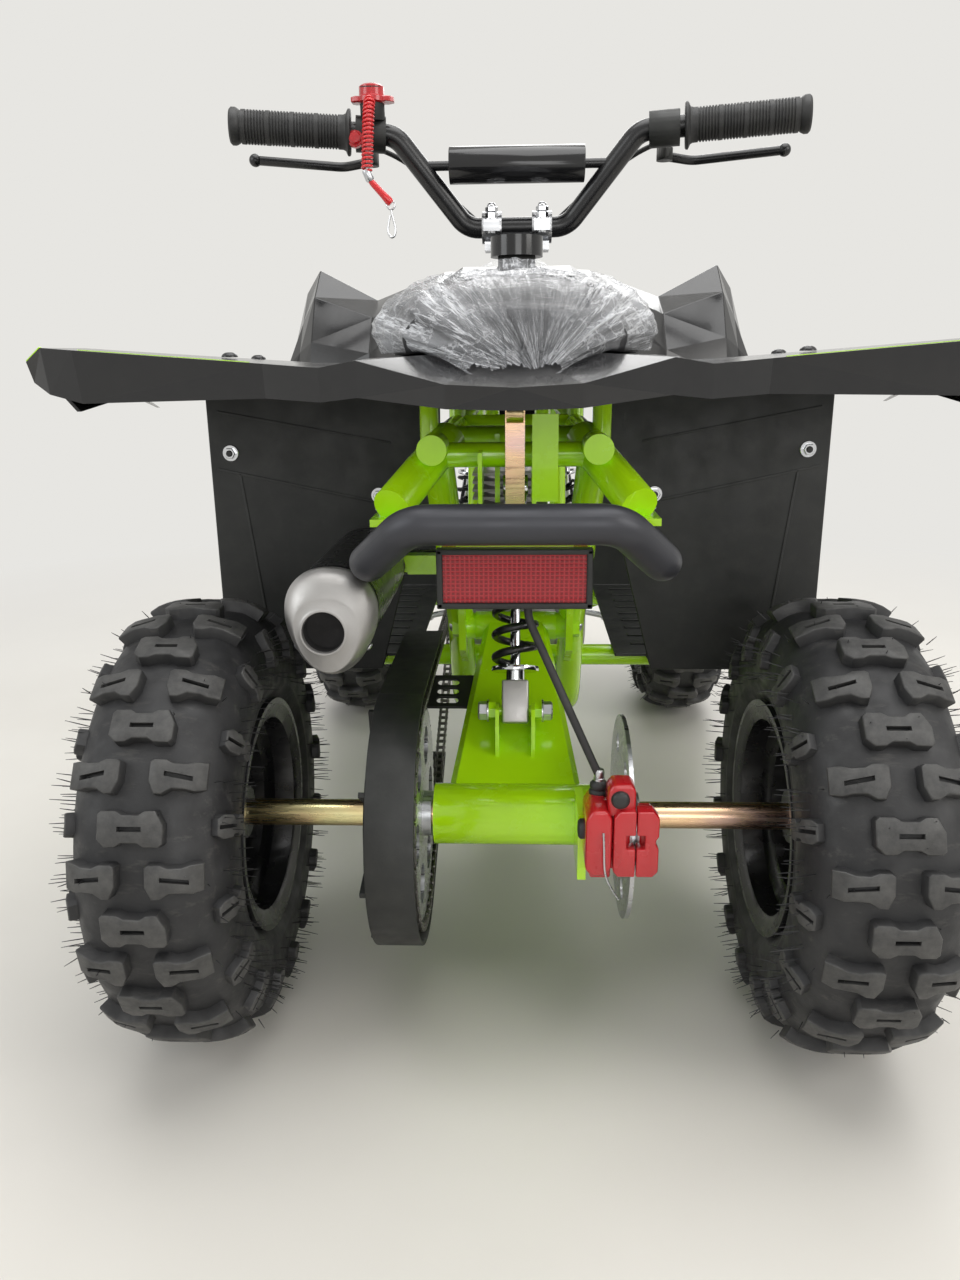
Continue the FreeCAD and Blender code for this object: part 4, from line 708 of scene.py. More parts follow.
def seat():
    """The cushion: a moulded crown with sunk seams, rounded ends and piping."""
    tail, nose = SEAT_ROWS[0][0], SEAT_ROWS[-1][0]
    grid = crowned_grid(SEAT_ROWS, np.linspace(tail, nose, 85), SEAT_COUNT)
    normal = grid_normals(grid)
    u = np.linspace(-1, 1, SEAT_COUNT)[None, :]
    y = grid[:, :, 1]
    sink = 1.6 * np.exp(-((np.abs(u) - EDGE_SEAM) / 0.035) ** 2)
    for at in CROSS_SEAMS:
        seam = 1.3 * np.exp(-((y - at - 14 * np.abs(u)) / 4.5) ** 2)
        sink = np.maximum(sink, seam * (np.abs(u) < EDGE_SEAM))
    puff = 1.2 * np.cos(np.clip(u / EDGE_SEAM, -1, 1) * pi / 2) + 0.5 * np.sin(y / 23 + 3 * u) * np.cos(y / 41)
    grid = grid + normal * (puff - sink - 1.0)[:, :, None]
    # both ends are rounded in by a radius r
    for start, inward, r in ((tail, 1, 6.0), (nose, -1, 9.0)):
        for k in range(6):
            ring = grid[k if inward > 0 else -1 - k]
            a = pi / 2 * k / 5
            middle = np.array([0, 0, ring[:, 2].mean()])
            size = np.maximum(np.abs(ring - middle).max(axis=0), 7)
            ring[:, [0, 2]] = (middle + (ring - middle) * (1 - r * (1 - sin(a)) / size))[:, [0, 2]]
            ring[:, 1] = start + inward * r * (1 - cos(a))
    grid[:, :, 2] = np.maximum(grid[:, :, 2], np.where(y < 330, 502.0, 0))
    cushion = drawn("seat_cushion", grid, capped(len(grid), SEAT_COUNT), "vinyl", 180)
    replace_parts(cushion, "seat")
    for side, column in PIPING:
        tube("seat_piping_" + side, grid[8:-8:6, column] + normal[8:-8:6, column] * 1.6, 1.5, "vinyl")
    stitches(grid[8:-8, STITCHED] + normal[8:-8, STITCHED] * 0.4)


def stitches(lines):
    """Short threads along each column of a grid of points."""
    threads = []
    for line in lines.transpose(1, 0, 2):
        for a, b in zip(line, line[1:]):
            d = unit(b - a)
            w = np.cross(d, (0, 0, 1.0))
            up = np.cross(w, d) * 0.45
            ring = (0, w * 0.4 + up * 0.6, up, up * 0.6 - w * 0.4)
            ends = a + d * 0.8, a + d * min(4.2, np.linalg.norm(b - a) - 0.8)
            threads.append(([end + out for end in ends for out in ring], capped(2, 4)))
    drawn("seat_stitches", *joined(threads), "thread", None)


def seat_film():
    """The loose film round the seat, gathered into pleats that run to its flat end behind."""
    ys = np.concatenate([np.linspace(-82, 20, 60, endpoint=False), np.linspace(20, 387, 60)])
    grid = crowned_grid(FILM_ROWS, ys, FILM_COUNT)
    normal = grid_normals(grid)
    u = np.linspace(-1, 1, FILM_COUNT)[None, :]
    y = grid[:, :, 1]
    tail = np.clip((150 - y) / 200, 0, 1)
    pleats = np.zeros_like(y)
    for waves, height, phase in ((23, 1.0, 0.4), (37, 0.8, 1.9), (61, 0.45, 0.8), (13, 0.9, 2.6)):
        bend = 0.22 * np.sin(y / 37 + phase * 5) + 0.12 * np.sin(y / 13 + phase)
        wave = (u + bend * 0.06) * waves * 1.1 + phase + 0.5 * np.sin(y / 60)
        pleats += height * (1 - np.abs(np.sin(wave)) ** 0.7)
    crumple = np.array([[fractal(Vector(p) * 0.035, 0.9, 2.1, 4) for p in row] for row in grid])
    lift = pleats * (0.35 + 1.2 * tail) + crumple * (2.2 + 1.2 * (1 - tail)) + 1.4
    edge = np.clip((np.abs(u) - 0.9) / 0.1, 0, 1)
    lift = np.clip(lift, 0.6, 6.5) * (1 - edge) + 0.4 * edge
    grid = grid + normal * lift[:, :, None]
    # the film stays above the fender and the slope behind it
    lowest = np.interp(grid[:, :, 1], [-100, -40, 400], [483.5, 503.2, 503.2])
    grid[:, :, 2] = np.maximum(grid[:, :, 2], lowest)
    wrap = drawn("seat_wrap", grid, grid_faces(len(ys), FILM_COUNT, closed=False), "film", 180)
    # painted sheen: the film is left milky all round and made clearer in a patch at the middle of the tail, so that
    # its sides look whiter
    milkiness_and_sheen = wrap.data.attributes.new("milkiness_and_sheen", "FLOAT", "POINT")
    clear = np.exp(-(((grid[:, :, 0] - 8) / 46) ** 2 + ((grid[:, :, 1] + 30) / 55) ** 2))
    milkiness_and_sheen.data.foreach_set("value", (1 - 0.75 * clear).ravel().astype(np.float32))


# Springs, grips and the stop switch

def swept(path, out, third, wire, sides):
    """A round wire along a path, from two directions across it at each point."""
    verts = [p + (o * cos(a) + t * sin(a)) * wire for p, o, t in zip(path, out, third) for a in angles(sides)]
    return verts, capped(len(path), sides)


def wound(low, top, r, wire, turns):
    """A round wire wound from low to top."""
    axis = unit(top - low)
    u = unit(np.cross(axis, (1.0, 0, 0)))
    total = int(turns * 30)
    share = np.arange(total + 1)[:, None] / total
    turn = 2 * pi * turns * share
    out = u * np.cos(turn) + np.cross(axis, u) * np.sin(turn)
    return swept(low + out * r + (top - low) * share, out, [axis] * (total + 1), wire, 10)


# columns: low eye, top eye, coil radius, wire radius, turns, from the CAD source
SHOCKS = [((0, 48, 231), (0, 120, 400), 16.0, 3.2, 6.5), ((-98, 720, 176), (-64, 716, 372), 13.8, 2.6, 7.5),
          ((98, 720, 176), (64, 716, 372), 13.8, 2.6, 7.5)]


def springs():
    coils = []
    for low, top, r, wire, turns in SHOCKS:
        low, run = np.array(low, float), np.subtract(top, low)
        play = unit(run) * (wire * 0.87 + 0.1)
        coils.append(wound(low + run * 0.19 + play, low + run * 0.86 - play, r, wire, turns))
    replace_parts(drawn("shock_coils", *joined(coils), "black_paint", 60), "shock_springs")


BAR_TIP, BAR_ELBOW = np.array([302.0, 455, 743]), np.array([132.0, 478, 736])


def from_tip(side, inward, dy=0.0, dz=0.0):
    """A point beside the straight end of the bar, measured along it from the tip."""
    x, y, z = BAR_TIP + unit(BAR_ELBOW - BAR_TIP) * inward
    return np.array([side * x, y + dy, z + dz])


def grips():
    """Ribbed rubber sleeves with a flange at the inner end."""
    profile = [(14, -4), (21.5, -4), (23, -3), (23, -1), (21.5, 0), (18.2, 1.5), (17, 4)]
    for k in range(33):
        h = 8 + k * 3.2
        if k % 8 == 7:
            profile += [(17, h), (17, h + 2.6)]
        else:
            profile += [(16.9, h), (16.9, h + 1.5), (15.6, h + 1.9), (15.6, h + 2.8)]
    profile += [(17, 115), (18.5, 118), (18.5, 122), (16.5, 124), (8, 124.5), (7, 123)]
    parts = [(from_tip(side, 120), from_tip(side, 0), profile) for side in SIDES]
    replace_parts(turned_piece("grip_sleeves", parts, "rubber", 40, body="steering"), "grips")


def stop_switch():
    """The red cap and button of the stop switch, its curly cord and the clip on the cord's end."""
    top = np.array([-154.0, 462.5, 738])
    cap = [(13.6, 0), (15.5, 1), (15.5, 5.5), (13.4, 7), (13.2, 16), (11, 17.6), (1, 18)]
    turned_piece("switch_cap", [(top + (0, 0, 25), top + (0, 0, 60), cap)], "red_paint", body="steering")
    # the brim reaches out to both sides of the cap
    outline = [(-21, -5), (-17, -8), (17, -8), (23, -4), (23, 4), (17, 8), (-17, 8), (-21, 5)]
    rings = ((26, 0.0), (26.6, 0.6), (30.4, 0.6), (31.4, -0.4))
    verts = [top + (x * (1 + grow / 20), y * (1 + grow / 8), z) for z, grow in rings for x, y in outline]
    drawn("switch_brim", verts, capped(len(rings), len(outline)), "red_paint", 40, "steering")
    button = from_tip(-1, 131, -17, -9)
    profile = [(8.6, -4), (8.6, 1.2), (8, 2), (6.6, 2), (6.4, 4.4), (5.2, 5.8), (1, 6.4)]
    turned_piece("stop_button", [(button, button + (0, -9, 1), profile)], "red_paint", body="steering")
    line = curve_line([(-154, 449.8, 765), (-154, 436, 763), (-158, 434, 690)])
    cord = coil_along("stop_cord", line, 5.2, 1.3, 4.0)
    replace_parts(cord, "stop_lanyard")
    clip = clip_pieces(line[-1])
    path = to_row(line)


def curve_line(points):
    """The smooth line that a curve draws through its control points."""
    curve = nurbs("route", points)
    curve.resolution_u = 24
    holder = added("route", curve)
    bpy.context.view_layer.update()
    mesh = bpy.data.meshes.new_from_object(holder)
    line = np.array([v.co[:] for v in mesh.vertices])
    bpy.data.objects.remove(holder)
    bpy.data.meshes.remove(mesh)
    return line


def coil_along(name, line, r, wire, pitch):
    """A curly cord: wire wound round a line at one pitch, drawn as a mesh tube."""
    steps = 16
    along = arc_lengths(line)
    total = int(along[-1] / pitch * steps)
    places = np.linspace(0, along[-1], total + 1)
    centre = np.stack([np.interp(places, along, line[:, k]) for k in range(3)], 1)
    tangent = unit(np.gradient(centre, axis=0))
    across = unit(np.cross(tangent, (1.0, 0, 0)))
    turn = 2 * pi * np.arange(total + 1)[:, None] / steps
    # the first and last turn draw in to the middle of the cord
    reach = r * np.clip(np.minimum(places, along[-1] - places) / 5, 0.12, 1)[:, None]
    path = centre + (across * np.cos(turn) + np.cross(tangent, across) * np.sin(turn)) * reach
    out = unit(path - centre)
    heading = unit(np.gradient(path, axis=0))
    return drawn(name, *swept(path, out, np.cross(heading, out), wire, 6), "red_cord", 60, "steering")


def clip_pieces(end):
    """The crimp, the red tongue and the steel hook on the end of the switch's cord."""
    knee = end + (22, 2, -26)
    crimp = (end + (-1, 0, 4), end + (4, 0, -8), [(4.4, 0), (4.6, 1), (4.6, 10), (3.2, 12)])
    crimp = turned_piece("cord_crimp", [crimp], "zinc", 16, body="steering")
    tongue = (end + (3, 0, -6), knee, [(2.6, 0), (3.4, 3), (3.8, 20), (4.6, 28), (3.4, 31)])
    tongue = turned_piece("cord_tongue", [tongue], "red_cord", 16, body="steering")
    circle = [knee + (2 + 4.5 * sin(a), 0, -4 + 4.5 * cos(a)) for a in angles(10)]
    ring = tube("cord_ring", circle, 0.9, "chrome", "steering", cyclic=True)
    bends = [(0, 0), (1.5, -8), (4, -16), (4, -25), (-1, -28), (-4.5, -22), (-3, -12), (-1, -5)]
    hook = tube("cord_hook", [knee + (2 + x, 0, -9 + z) for x, z in bends], 1.1, "chrome", "steering")
    return [crimp, tongue, ring, hook]


# Silencer

CAN_X, CAN_Z, CAN_Y, CAN_LONG = -123.5, 331.5, -42.0, 170.0
OUTLET_X, OUTLET_Z = -126.5, 325.5
AROUND = 72


def egg(y, r, dx=0.0, dz=0.0):
    """The silencer's section: egg-shaped, narrow below."""
    points = []
    for a in angles(AROUND):
        reach = r * (1 + 0.05 * cos(3 * (a + pi / 2)))
        points.append((CAN_X + dx + reach * cos(a) * 0.92, y, CAN_Z + dz + reach * sin(a) * 1.08))
    return points


def silencer():
    """The can with its band, the pipe to it, the end cap with its outlet darkened by soot and painted shade, and the
    cap's rivets.
    """
    front = CAN_Y + CAN_LONG
    rings = [egg(y, r) for y, r in ((front + 3, 22), (front, 30.5), (front - 3, 32.5), (CAN_Y + 12, 32.5),
                                    (CAN_Y + 11, 33.1), (CAN_Y + 7, 33.1), (CAN_Y + 6, 32.5), (CAN_Y + 1, 32.5))]
    can = drawn("silencer_can", rings, capped(len(rings), AROUND), slot_of["exhaust"], 50)
    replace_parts(can, "exhaust")
    pipe = [(-12, 292, 319), (-12, 268, 319), (-66, 200, 322), (-113, 150, 329.5), (-120, 124, 331.5)]
    tube("exhaust_pipe", pipe, 11, slot_of["exhaust"], resolution=4)
    # columns: distance behind the can, size, shift in x and z
    skirt = [(0.3, 33.0, 0, 0), (0.6, 34.0, 0, 0), (4.6, 34.0, 0, 0), (5.4, 33.4, 0, 0), (9, 32.8, 0, -0.5),
             (12.5, 31.0, -0.1, -1.8), (15.5, 28.4, -0.3, -3.6), (17.6, 25.8, -0.6, -5.4),
             (18.7, 24.2, -0.8, -6.6), (19.1, 23.0, -1.0, -7.2)]
    lip = [(19.1, 16.6), (19.7, 16.0), (20.0, 15.2), (19.9, 14.4), (19.2, 14.0), (16.4, 13.9), (7, 13.9), (6.5, 13.0)]
    rings = [egg(CAN_Y - behind, r, dx, dz) for behind, r, dx, dz in skirt]
    rings += [[(OUTLET_X + r * cos(a), CAN_Y - behind, OUTLET_Z + r * sin(a)) for a in angles(AROUND)]
              for behind, r in lip]
    end = drawn("silencer_end", rings, capped(len(rings), AROUND), "alloy", 50)
    # near black inside the outlet: soot on its wall, and painted shade on the disc that closes it a short way in,
    # where the open pipe would be dark
    end.data.materials.append(finish["soot_and_shade"])
    for face in end.data.polygons:
        x, y, z = face.center / MM
        within = CAN_Y - 16.4 < y - AXLE_Y / MM < CAN_Y - 5
        if within and hypot(x - OUTLET_X, z - OUTLET_Z) < 14.0:
            face.material_index = 1
    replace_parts(end, "silencer_cap")
    rivets = [((-147.5, -45, 351.5), (-0.75, 0, 0.66)), ((-99.5, -45, 351.5), (0.75, 0, 0.66)),
              ((-99, -45, 311.5), (0.8, 0, -0.6)), ((-148, -45, 311.5), (-0.8, 0, -0.6))]
    studs("silencer_rivets", rivets, "zinc", 3.0)


# Brake and chain

def caliper():
    """The rear caliper: two halves bridged over the disc, boots and the lever's return wire."""
    bracket = [(47.5, 168), (51, 163), (61, 163), (65, 169), (65, 205), (61, 211), (52, 211), (47.5, 204)]
    lobe = [(62, 205), (62, 223), (65.5, 228), (77, 228), (80.5, 224), (80.5, 205)]
    boss = [(51, 158), (65, 158), (65, 170), (51, 170)]
    # two notched halves meet at a parting line and leave a window
    inner = [(66, 167), (69, 163), (80.6, 163), (80.6, 183.5), (74.5, 183.5), (74.5, 193.5), (80.6, 193.5),
             (80.6, 211), (70, 211), (66, 206)]
    outer = [(81.4, 163), (92.5, 163), (96, 167), (96, 184), (94, 187), (94, 190), (96, 193), (96, 206), (92, 211),
             (81.4, 211), (81.4, 193.5), (87, 193.5), (87, 183.5), (81.4, 183.5)]
    near_side, far_side = ([(x[0], z[0]), (x[1], z[0]), (x[1], z[1]), (x[0], z[1])]
                           for x, z in (((64, 78), (164, 208)), ((84, 95.5), (165, 199))))
    # columns: outline (x, z), its distance ahead, how far it is drawn back, rounding
    blocks = ((bracket, -50.5, 38.5, 2.2), (lobe, -66, 19, 2.0), (boss, -56, 26, 1.6), (near_side, -48, 33, 2.2),
              (far_side, -48, 33, 2.2), (inner, -77.5, 12, 1.1), (outer, -77.5, 12, 1.1))
    parts = [([(x, y, z) for x, z in outline], (0, -depth, 0), rounding) for outline, y, depth, rounding in blocks]
    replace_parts(prisms("caliper_body", parts, "red_paint", 50), "rear_caliper")
    folds = [(5.2, 0), (6.8, 1.5), (6.8, 4), (5.6, 5.2), (6.8, 6.5), (6.8, 9), (5.6, 10.2), (6.4, 11.5), (6.2, 14),
             (4, 16.5), (2.9, 17)]
    boots = [((58, -58, 203.5), (58, -58, 230), folds),
             ((57.5, -64, 165), (57.5, -64, 150), [(6, 0), (6, 8), (5, 10.5), (2, 11)]),
             ((70, -84, 218), (70, -95, 218), [(6.2, 0), (6.2, 2.5), (5, 4.5), (2, 5)]),
             ((48, -70, 189), (40, -70, 189), [(7, 0), (7, 3), (5.5, 4.6), (2, 5)])]
    turned_piece("caliper_boots", boots, "rubber", 24, 50)
    ferrule = [(3.9, 0), (3.9, 2), (3.3, 2.4), (3.6, 4), (3.6, 7), (3, 8.5)]
    turned_piece("cable_ferrule", [((58, -58, 219.5), (58, -58, 232), ferrule)], "zinc", 18)
    wire = [(59, -90, 196), (59.5, -92, 186), (60, -91.5, 168), (64, -90, 156), (71, -84, 143)]
    tube("lever_wire", wire, 0.8, "zinc")
    pads = [(box_outline(x, (170, 204), -79.5), (0, 26, 0), 0.3) for x in ((77.2, 79.2), (82.8, 84.8))]
    prisms("brake_pads", pads, "zinc")


REAR_TEETH, DRIVE_TEETH, PITCH, CHAIN_X = 66, 11, 8.0, -71.0
DRIVE_Y, DRIVE_Z = 330.0, 232.0


def chain_line():
    """Pin places (y, z) round both sprockets, at even steps as near the pitch as closes the loop."""
    big, small = (PITCH / 2 / sin(pi / teeth) for teeth in (REAR_TEETH, DRIVE_TEETH))
    axle, drive = np.array([0, AXLE_Z / MM]), np.array([DRIVE_Y, DRIVE_Z])
    apart = hypot(*(drive - axle))
    lean = np.arcsin((big - small) / apart)
    up = np.arctan2(*(drive - axle)[::-1]) + pi / 2 - lean
    down = up - (pi - 2 * lean)
    run = apart * cos(lean)
    front_arc, rear_arc = small * (pi - 2 * lean), big * (pi + 2 * lean)
    total = 2 * run + front_arc + rear_arc
    count = int(round(total / PITCH / 2)) * 2

    def on(centre, r, a):
        return centre + r * np.array([cos(a), sin(a)])

    points = []
    for s in np.arange(count) * total / count:
        if s < run:
            a, b = on(axle, big, up), on(drive, small, up)
            points.append(a + (b - a) * s / run)
        elif s < run + front_arc:
            points.append(on(drive, small, up - (s - run) / small))
        elif s < 2 * run + front_arc:
            a, b = on(drive, small, down), on(axle, big, down)
            points.append(a + (b - a) * (s - run - front_arc) / run)
        else:
            points.append(on(axle, big, down - (s - 2 * run - front_arc) / big))
    return points


def lump(outline, x0, x1, at, u):
    """A solid of the chain from x0 to x1, with its outline turned so that it runs along u."""
    w = np.array([-u[1], u[0]])
    verts = [(CHAIN_X + x, *(at + u * p + w * q)) for x in (x0, x1) for p, q in outline]
    return verts, capped(2, len(outline))


def chain_links():
    """Every link of the chain: waisted plates, rollers and pin ends."""
    pins = chain_line()
    ends = [(2.9 * cos(a), 3.2 * sin(a)) for a in np.linspace(-pi / 2, pi / 2, 7)]
    # thinner than real, so that the sprocket's teeth turn clear of the standing chain
    roller, pin = ([(r * cos(a), r * sin(a)) for a in angles(count)] for r, count in ((1.55, 10), (1.15, 8)))
    parts = []
    for k, (a, b) in enumerate(zip(pins, pins[1:] + pins[:1])):
        span = np.linalg.norm(b - a)
        u = (b - a) / span
        reach = span / 2 + 0.8
        plate = [(reach + x, z) for x, z in ends] + [(0, 2.3)] + [(-reach - x, -z) for x, z in ends] + [(0, -2.3)]
        inner = 1.9 if k % 2 else 3.1
        for side in SIDES:
            parts.append(lump(plate, side * inner, side * (inner + 0.95), (a + b) / 2, u))
        parts += [lump(roller, -1.8, 1.8, a, u), lump(pin, -4.5, 4.5, a, u)]
    verts, faces = joined(parts)
    bm = bmesh.new()
    bm.from_mesh(mesh_from("chain_shapes", to_row(verts), faces))
    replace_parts(piece("chain_links", finished(bm, "chain_links"), "chain_steel", 40), "drive_chain")


# Bolts, nuts and small fittings

FRONT_Y, HALF_TRACK, AXLE_HIGH = 720.0, 232.0, 165.0
WHEELS = (("rear_left", -1, 0.0, "rear_axle_line"), ("rear_right", 1, 0.0, "rear_axle_line"),
          ("front_left", -1, FRONT_Y, "wheel_front_left"), ("front_right", 1, FRONT_Y, "wheel_front_right"))


def wheel_fittings():
    """Four nuts and a tyre valve on each wheel."""
    valve = [(5, -3), (5, 0), (3.6, 2), (3.1, 9), (3.1, 11), (4, 11.5), (4, 18), (3.2, 19.5)]
    for name, side, y, body in WHEELS:
        def on_wheel(out, r, a):
            return side * (HALF_TRACK + out), y + r * cos(a), AXLE_HIGH + r * sin(a)

        nuts = [(on_wheel(13, 32, k * pi / 2 + pi / 4), (side, 0, 0), 13, 8, 9.5) for k in range(4)]
        hardware("wheel_nuts_" + name, nuts, "zinc", body)
        a = 0.4 if y else 2.2
        turned_piece("valve_" + name, [(on_wheel(17, 69, a), on_wheel(37, 61, a), valve)], "rubber", 16, body=body)


def bolts():
    """Bolts of the flaps, seat plate, fender, engine cover and swing arm, and the clamps on the bar."""
    up = (0, 0, 1)
    flap = [(side * x, z) for side in SIDES for x, z in ((253, 422), (122, 384))]
    hardware("flap_bolts", [((x, 186, z), (0, -1, 0), 9, 3.4, 7.2) for x, z in flap], "chrome")
    flap_ends = [((x, 184, z), (x, 170, z), [(2.9, 0), (2.9, 3.4), (2.3, 4.2)]) for x, z in flap]
    turned_piece("flap_bolt_ends", flap_ends, "rubber", 12)
    seat_plate = [((side * x, y, 395), up, 10, 5.5, 8) for side in SIDES for x, y in ((93, 22), (67, -16))]
    hardware("frame_bolts", seat_plate, "zinc")
    fender = ((112, 40, 495.6), (112, 150, 498.2), (210, 60, 502.2), (210, 140, 501.2))
    studs("fender_studs", [((side * x, y, z), up) for side in SIDES for x, y, z in fender], "black_paint", 6.0)
    cover = [(-62, 345 + 46 * cos(a), 232 + 46 * sin(a)) for a in (k * pi / 3 + 0.3 for k in range(6))]
    posts = [((x + 10, y, z), (x, y, z), [(6, 0), (6, 9.5), (5.4, 10)]) for x, y, z in cover]
    turned_piece("cover_posts", posts, "alloy", 18)
    studs("cover_studs", [(p, (-1, 0, 0)) for p in cover], "zinc", 3.4)
    clamps = [(side * 28, y) for side in SIDES for y in (482, 518)]
    stack = ((650, 6.5, 7.5), (658.5, 5, 0))
    nuts = [((x, y, z), up, 12, tall, washer) for x, y in clamps for z, tall, washer in stack]
    hardware("clamp_nuts", nuts, "chrome", "steering")
    caps = [((x, y, 663), (x, y, 680), [(5.2, 0), (5.2, 1.5), (4.2, 3.6), (1.5, 4.8)]) for x, y in clamps]
    turned_piece("clamp_caps", caps, "chrome", 20, 60, "steering")
    studs("pivot_ends", [((side * 57, 170, 268), (side, 0, 0)) for side in SIDES], "zinc", 5.5)


def trim():
    """The reflector's frame, pinstripes, tread ribs on the foot boards and creases in the flaps."""
    bars = (((-50, 50), (378.6, 382.2)), ((-50, 50), (343.2, 347.2)), ((-50, -46), (343.4, 382)),
            ((46, 50), (343.4, 382)))
    prisms("reflector_frame", [(box_outline(x, z, -68), (0, 10, 0), 0.9) for x, z in bars], "matt_plastic")
    stripes, ribs, creases = [], [], []
    for side in SIDES:
        # columns: an outline and how far its drawing leans out
        for outline, lean in (([(292, -9.4, 506.9), (172, -28, 497.8), (172, -25.4, 497.8), (292, -6.8, 506.9)], 0),
                              ([(322.5, 0.4, 509.1), (335.8, 6.6, 500.4), (335.8, 9.6, 500.6), (322.5, 3.6, 509.1)],
                               0.4)):
            stripes.append(([(side * x, y, z) for x, y, z in outline], (side * lean, 0, 0.5), 0))
        for y in range(218, 218 + 9 * 29, 29):
            rib = [(side * x, y + dy, 235.6) for x, dy in ((110, 0), (256, 0), (256, 7), (110, 7))]
            ribs.append((rib, (0, 0, 1.9), 0.8))
        for (x0, z0), (x1, z1), w in (((266, 408), (96, 372), 1.3), ((246, 404), (226, 226), 1.1),
                                      ((262, 458), (110, 430), 1.0)):
            dx, dz = unit(np.array([z0 - z1, x1 - x0], float)) * w
            crease = [(side * (x + s * dx), 186.2, z + s * dz)
                      for x, z, s in ((x0, z0, 1), (x1, z1, 1), (x1, z1, -1), (x0, z0, -1))]
            creases.append((crease, (0, -0.9, 0), 0.4))
    prisms("fender_pinstripes", stripes, "green_paint", None)
    prisms("board_ribs", ribs, "matt_plastic")
    prisms("flap_creases", creases, "matt_plastic", 60)


def cables():
    """Brake cables from the lever mounts, round the clamps and down beside the stem, with their adjusters."""
    low, top = np.array([0, 700.0, 190]), np.array([0, 505.0, 622])
    adjuster = [(3.6, -4), (3.6, 2), (5, 2.5), (5, 7), (3.4, 7.5), (3.6, 12), (3, 13)]
    for name, side in (("left", -1), ("right", 1)):
        beside = [top - unit(top - low) * down + (side * 15, 0, 0) for down in (18, 44, 66)]
        start = from_tip(side, 143) + (side * 3, 25, -8)
        end = start + (side * -22, 2, -4)
        route = [start, end, (side * 96, 532, 698), (side * 60, 537, 668), (side * 28, 535, 640),
                 beside[0] + (0, 2, 0), *beside[1:]]
        tube("brake_cable_" + name, route, 2.7, "rubber", "steering")
        turned_piece("adjuster_" + name, [(start, end, adjuster)], "zinc", 18, body="steering")


def engine_details():
    """Recoil starter, plug cap and its lead, carburettor parts and the air filter."""
    cover = [(2, 0), (49, 0), (50, 2), (50, 17), (48, 20), (44, 21.5), (42, 25), (36, 26), (35, 31), (31, 33),
             (12, 33.5), (10, 31), (2, 31)]
    starter = turned_piece("starter_cover", [((40, 345, 232), (90, 345, 232), cover)], "alloy", 48, 40)
    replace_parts(starter, "pull_starter")
    vents = []
    for a in (k * pi / 4 + 0.39 for k in range(8)):
        out, over = np.array([cos(a), sin(a)]), np.array([-sin(a), cos(a)])
        quad = [out * r + over * half for r, half in ((38.6, 7), (38.6, -7), (42.6, -7.6), (42.6, 7.6))]
        vents.append(([(64.6, 345 + y, 232 + z) for y, z in quad], (1.2, 0, 0), 0.3))
    prisms("starter_vents", vents, "rubber")
    guide = [(44, 370, 258), (44, 397, 262), (44, 397, 279), (44, 372, 279)]
    prisms("starter_handle_guide", [(guide, (16, 0, 0), 2.0)], "matt_plastic")
    handle = [((52, 386, 276), (52, 394, 300), [(8, 0), (8, 6), (4, 8), (4, 14)]),
              ((38, 393, 294), (66, 393, 294), [(4, 0), (6, 1.5), (6, 26.5), (4, 28)])]
    turned_piece("starter_handle", handle, "rubber", 20, 50)
    plug = [(6, 0), (9.6, 2), (9.8, 16), (8.4, 19), (8.4, 24), (6, 27)]
    turned_piece("plug_cap", [((-4, 345, 402), (-4, 345, 450), plug)], "rubber", 24, 50)
    lead = [(-4, 345, 424), (-4, 352, 436), (-14, 380, 440), (-30, 402, 430), (-36, 414, 414)]
    tube("plug_lead", lead, 3.2, "rubber")
    bowl = [(12.5, 0), (13.5, 2), (13.5, 4), (12.4, 5), (12.4, 16), (10, 19.5), (4, 20), (4, 22.5), (2, 23)]
    top = [(11, 0), (11, 9), (9.5, 11.5), (4, 12)]
    turned_piece("carburettor_bowl", [((20, 276, 314), (20, 276, 290), bowl), ((20, 276, 343), (20, 276, 360), top)],
                 "alloy", 28, 40)
    pleats = [(2, 0), (22, 0), (26, 2), (27, 5)]
    for h in range(6, 34, 4):
        pleats += [(27, h), (25.2, h + 2)]
    pleats += [(27, 34), (27, 36), (24, 39), (2, 40)]
    filter_body = turned_piece("filter_body", [((29, 222, 328), (29, 262, 328), pleats)], "rubber", 40, 40)
    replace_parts(filter_body, "air_filter")


def damper_foot():
    """The rear damper's square foot and its bolt's two ends."""
    low, top, *_ = SHOCKS[0]
    low, d = np.array(low, float), unit(np.subtract(top, low))
    across = np.array([0, -d[2], d[1]]) * 9
    foot = [low - d * 10 + across, low + d * 24 + across, low + d * 24 - across, low - d * 10 - across]
    prisms("damper_foot", [([(-10.5, y, z) for _, y, z in foot], (21, 0, 0), 1.6)], "alloy")
    hardware("damper_bolt", [((side * 21, 48, 231), (side, 0, 0), 13, 7, 9) for side in SIDES], "zinc")


def headlamps():
    """Two domed lenses in black bezels."""
    bezel = [(18, 0), (22, 4), (26.8, 12), (26.8, 14.5), (29.5, 15.2), (29.8, 17), (29, 21), (27, 23.5), (25, 24),
             (24.2, 22), (24, 19), (20, 14), (2, 12)]
    lens = [(24.1, 18), (24.1, 20.5), (20, 22.8), (14, 24.6), (7, 25.7), (1, 26)]
    bezels, lenses = ([((side * 38, 846, 376), (side * 38, 880, 376), profile) for side in SIDES]
                      for profile in (bezel, lens))
    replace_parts(turned_piece("lamp_bezels", bezels, "black_plastic", 48, 40), "headlamps")
    turned_piece("lamp_lenses", lenses, "lamp_lens", 48, 60)


for build in (tyres, seat, seat_film, springs, grips, stop_switch, silencer, caliper, chain_links, wheel_fittings,
              bolts, trim, cables, engine_details, headlamps, damper_foot):
    build()


# Stage, light and camera: sizes in metres

BACKDROP = (0.80, 0.79, 0.76)
SKY = (0.95, 0.97, 1.0)
FLOOR_HALF = 6.0
# how far out the floor starts and ends to fade
FADE = (0.75, 1.9)


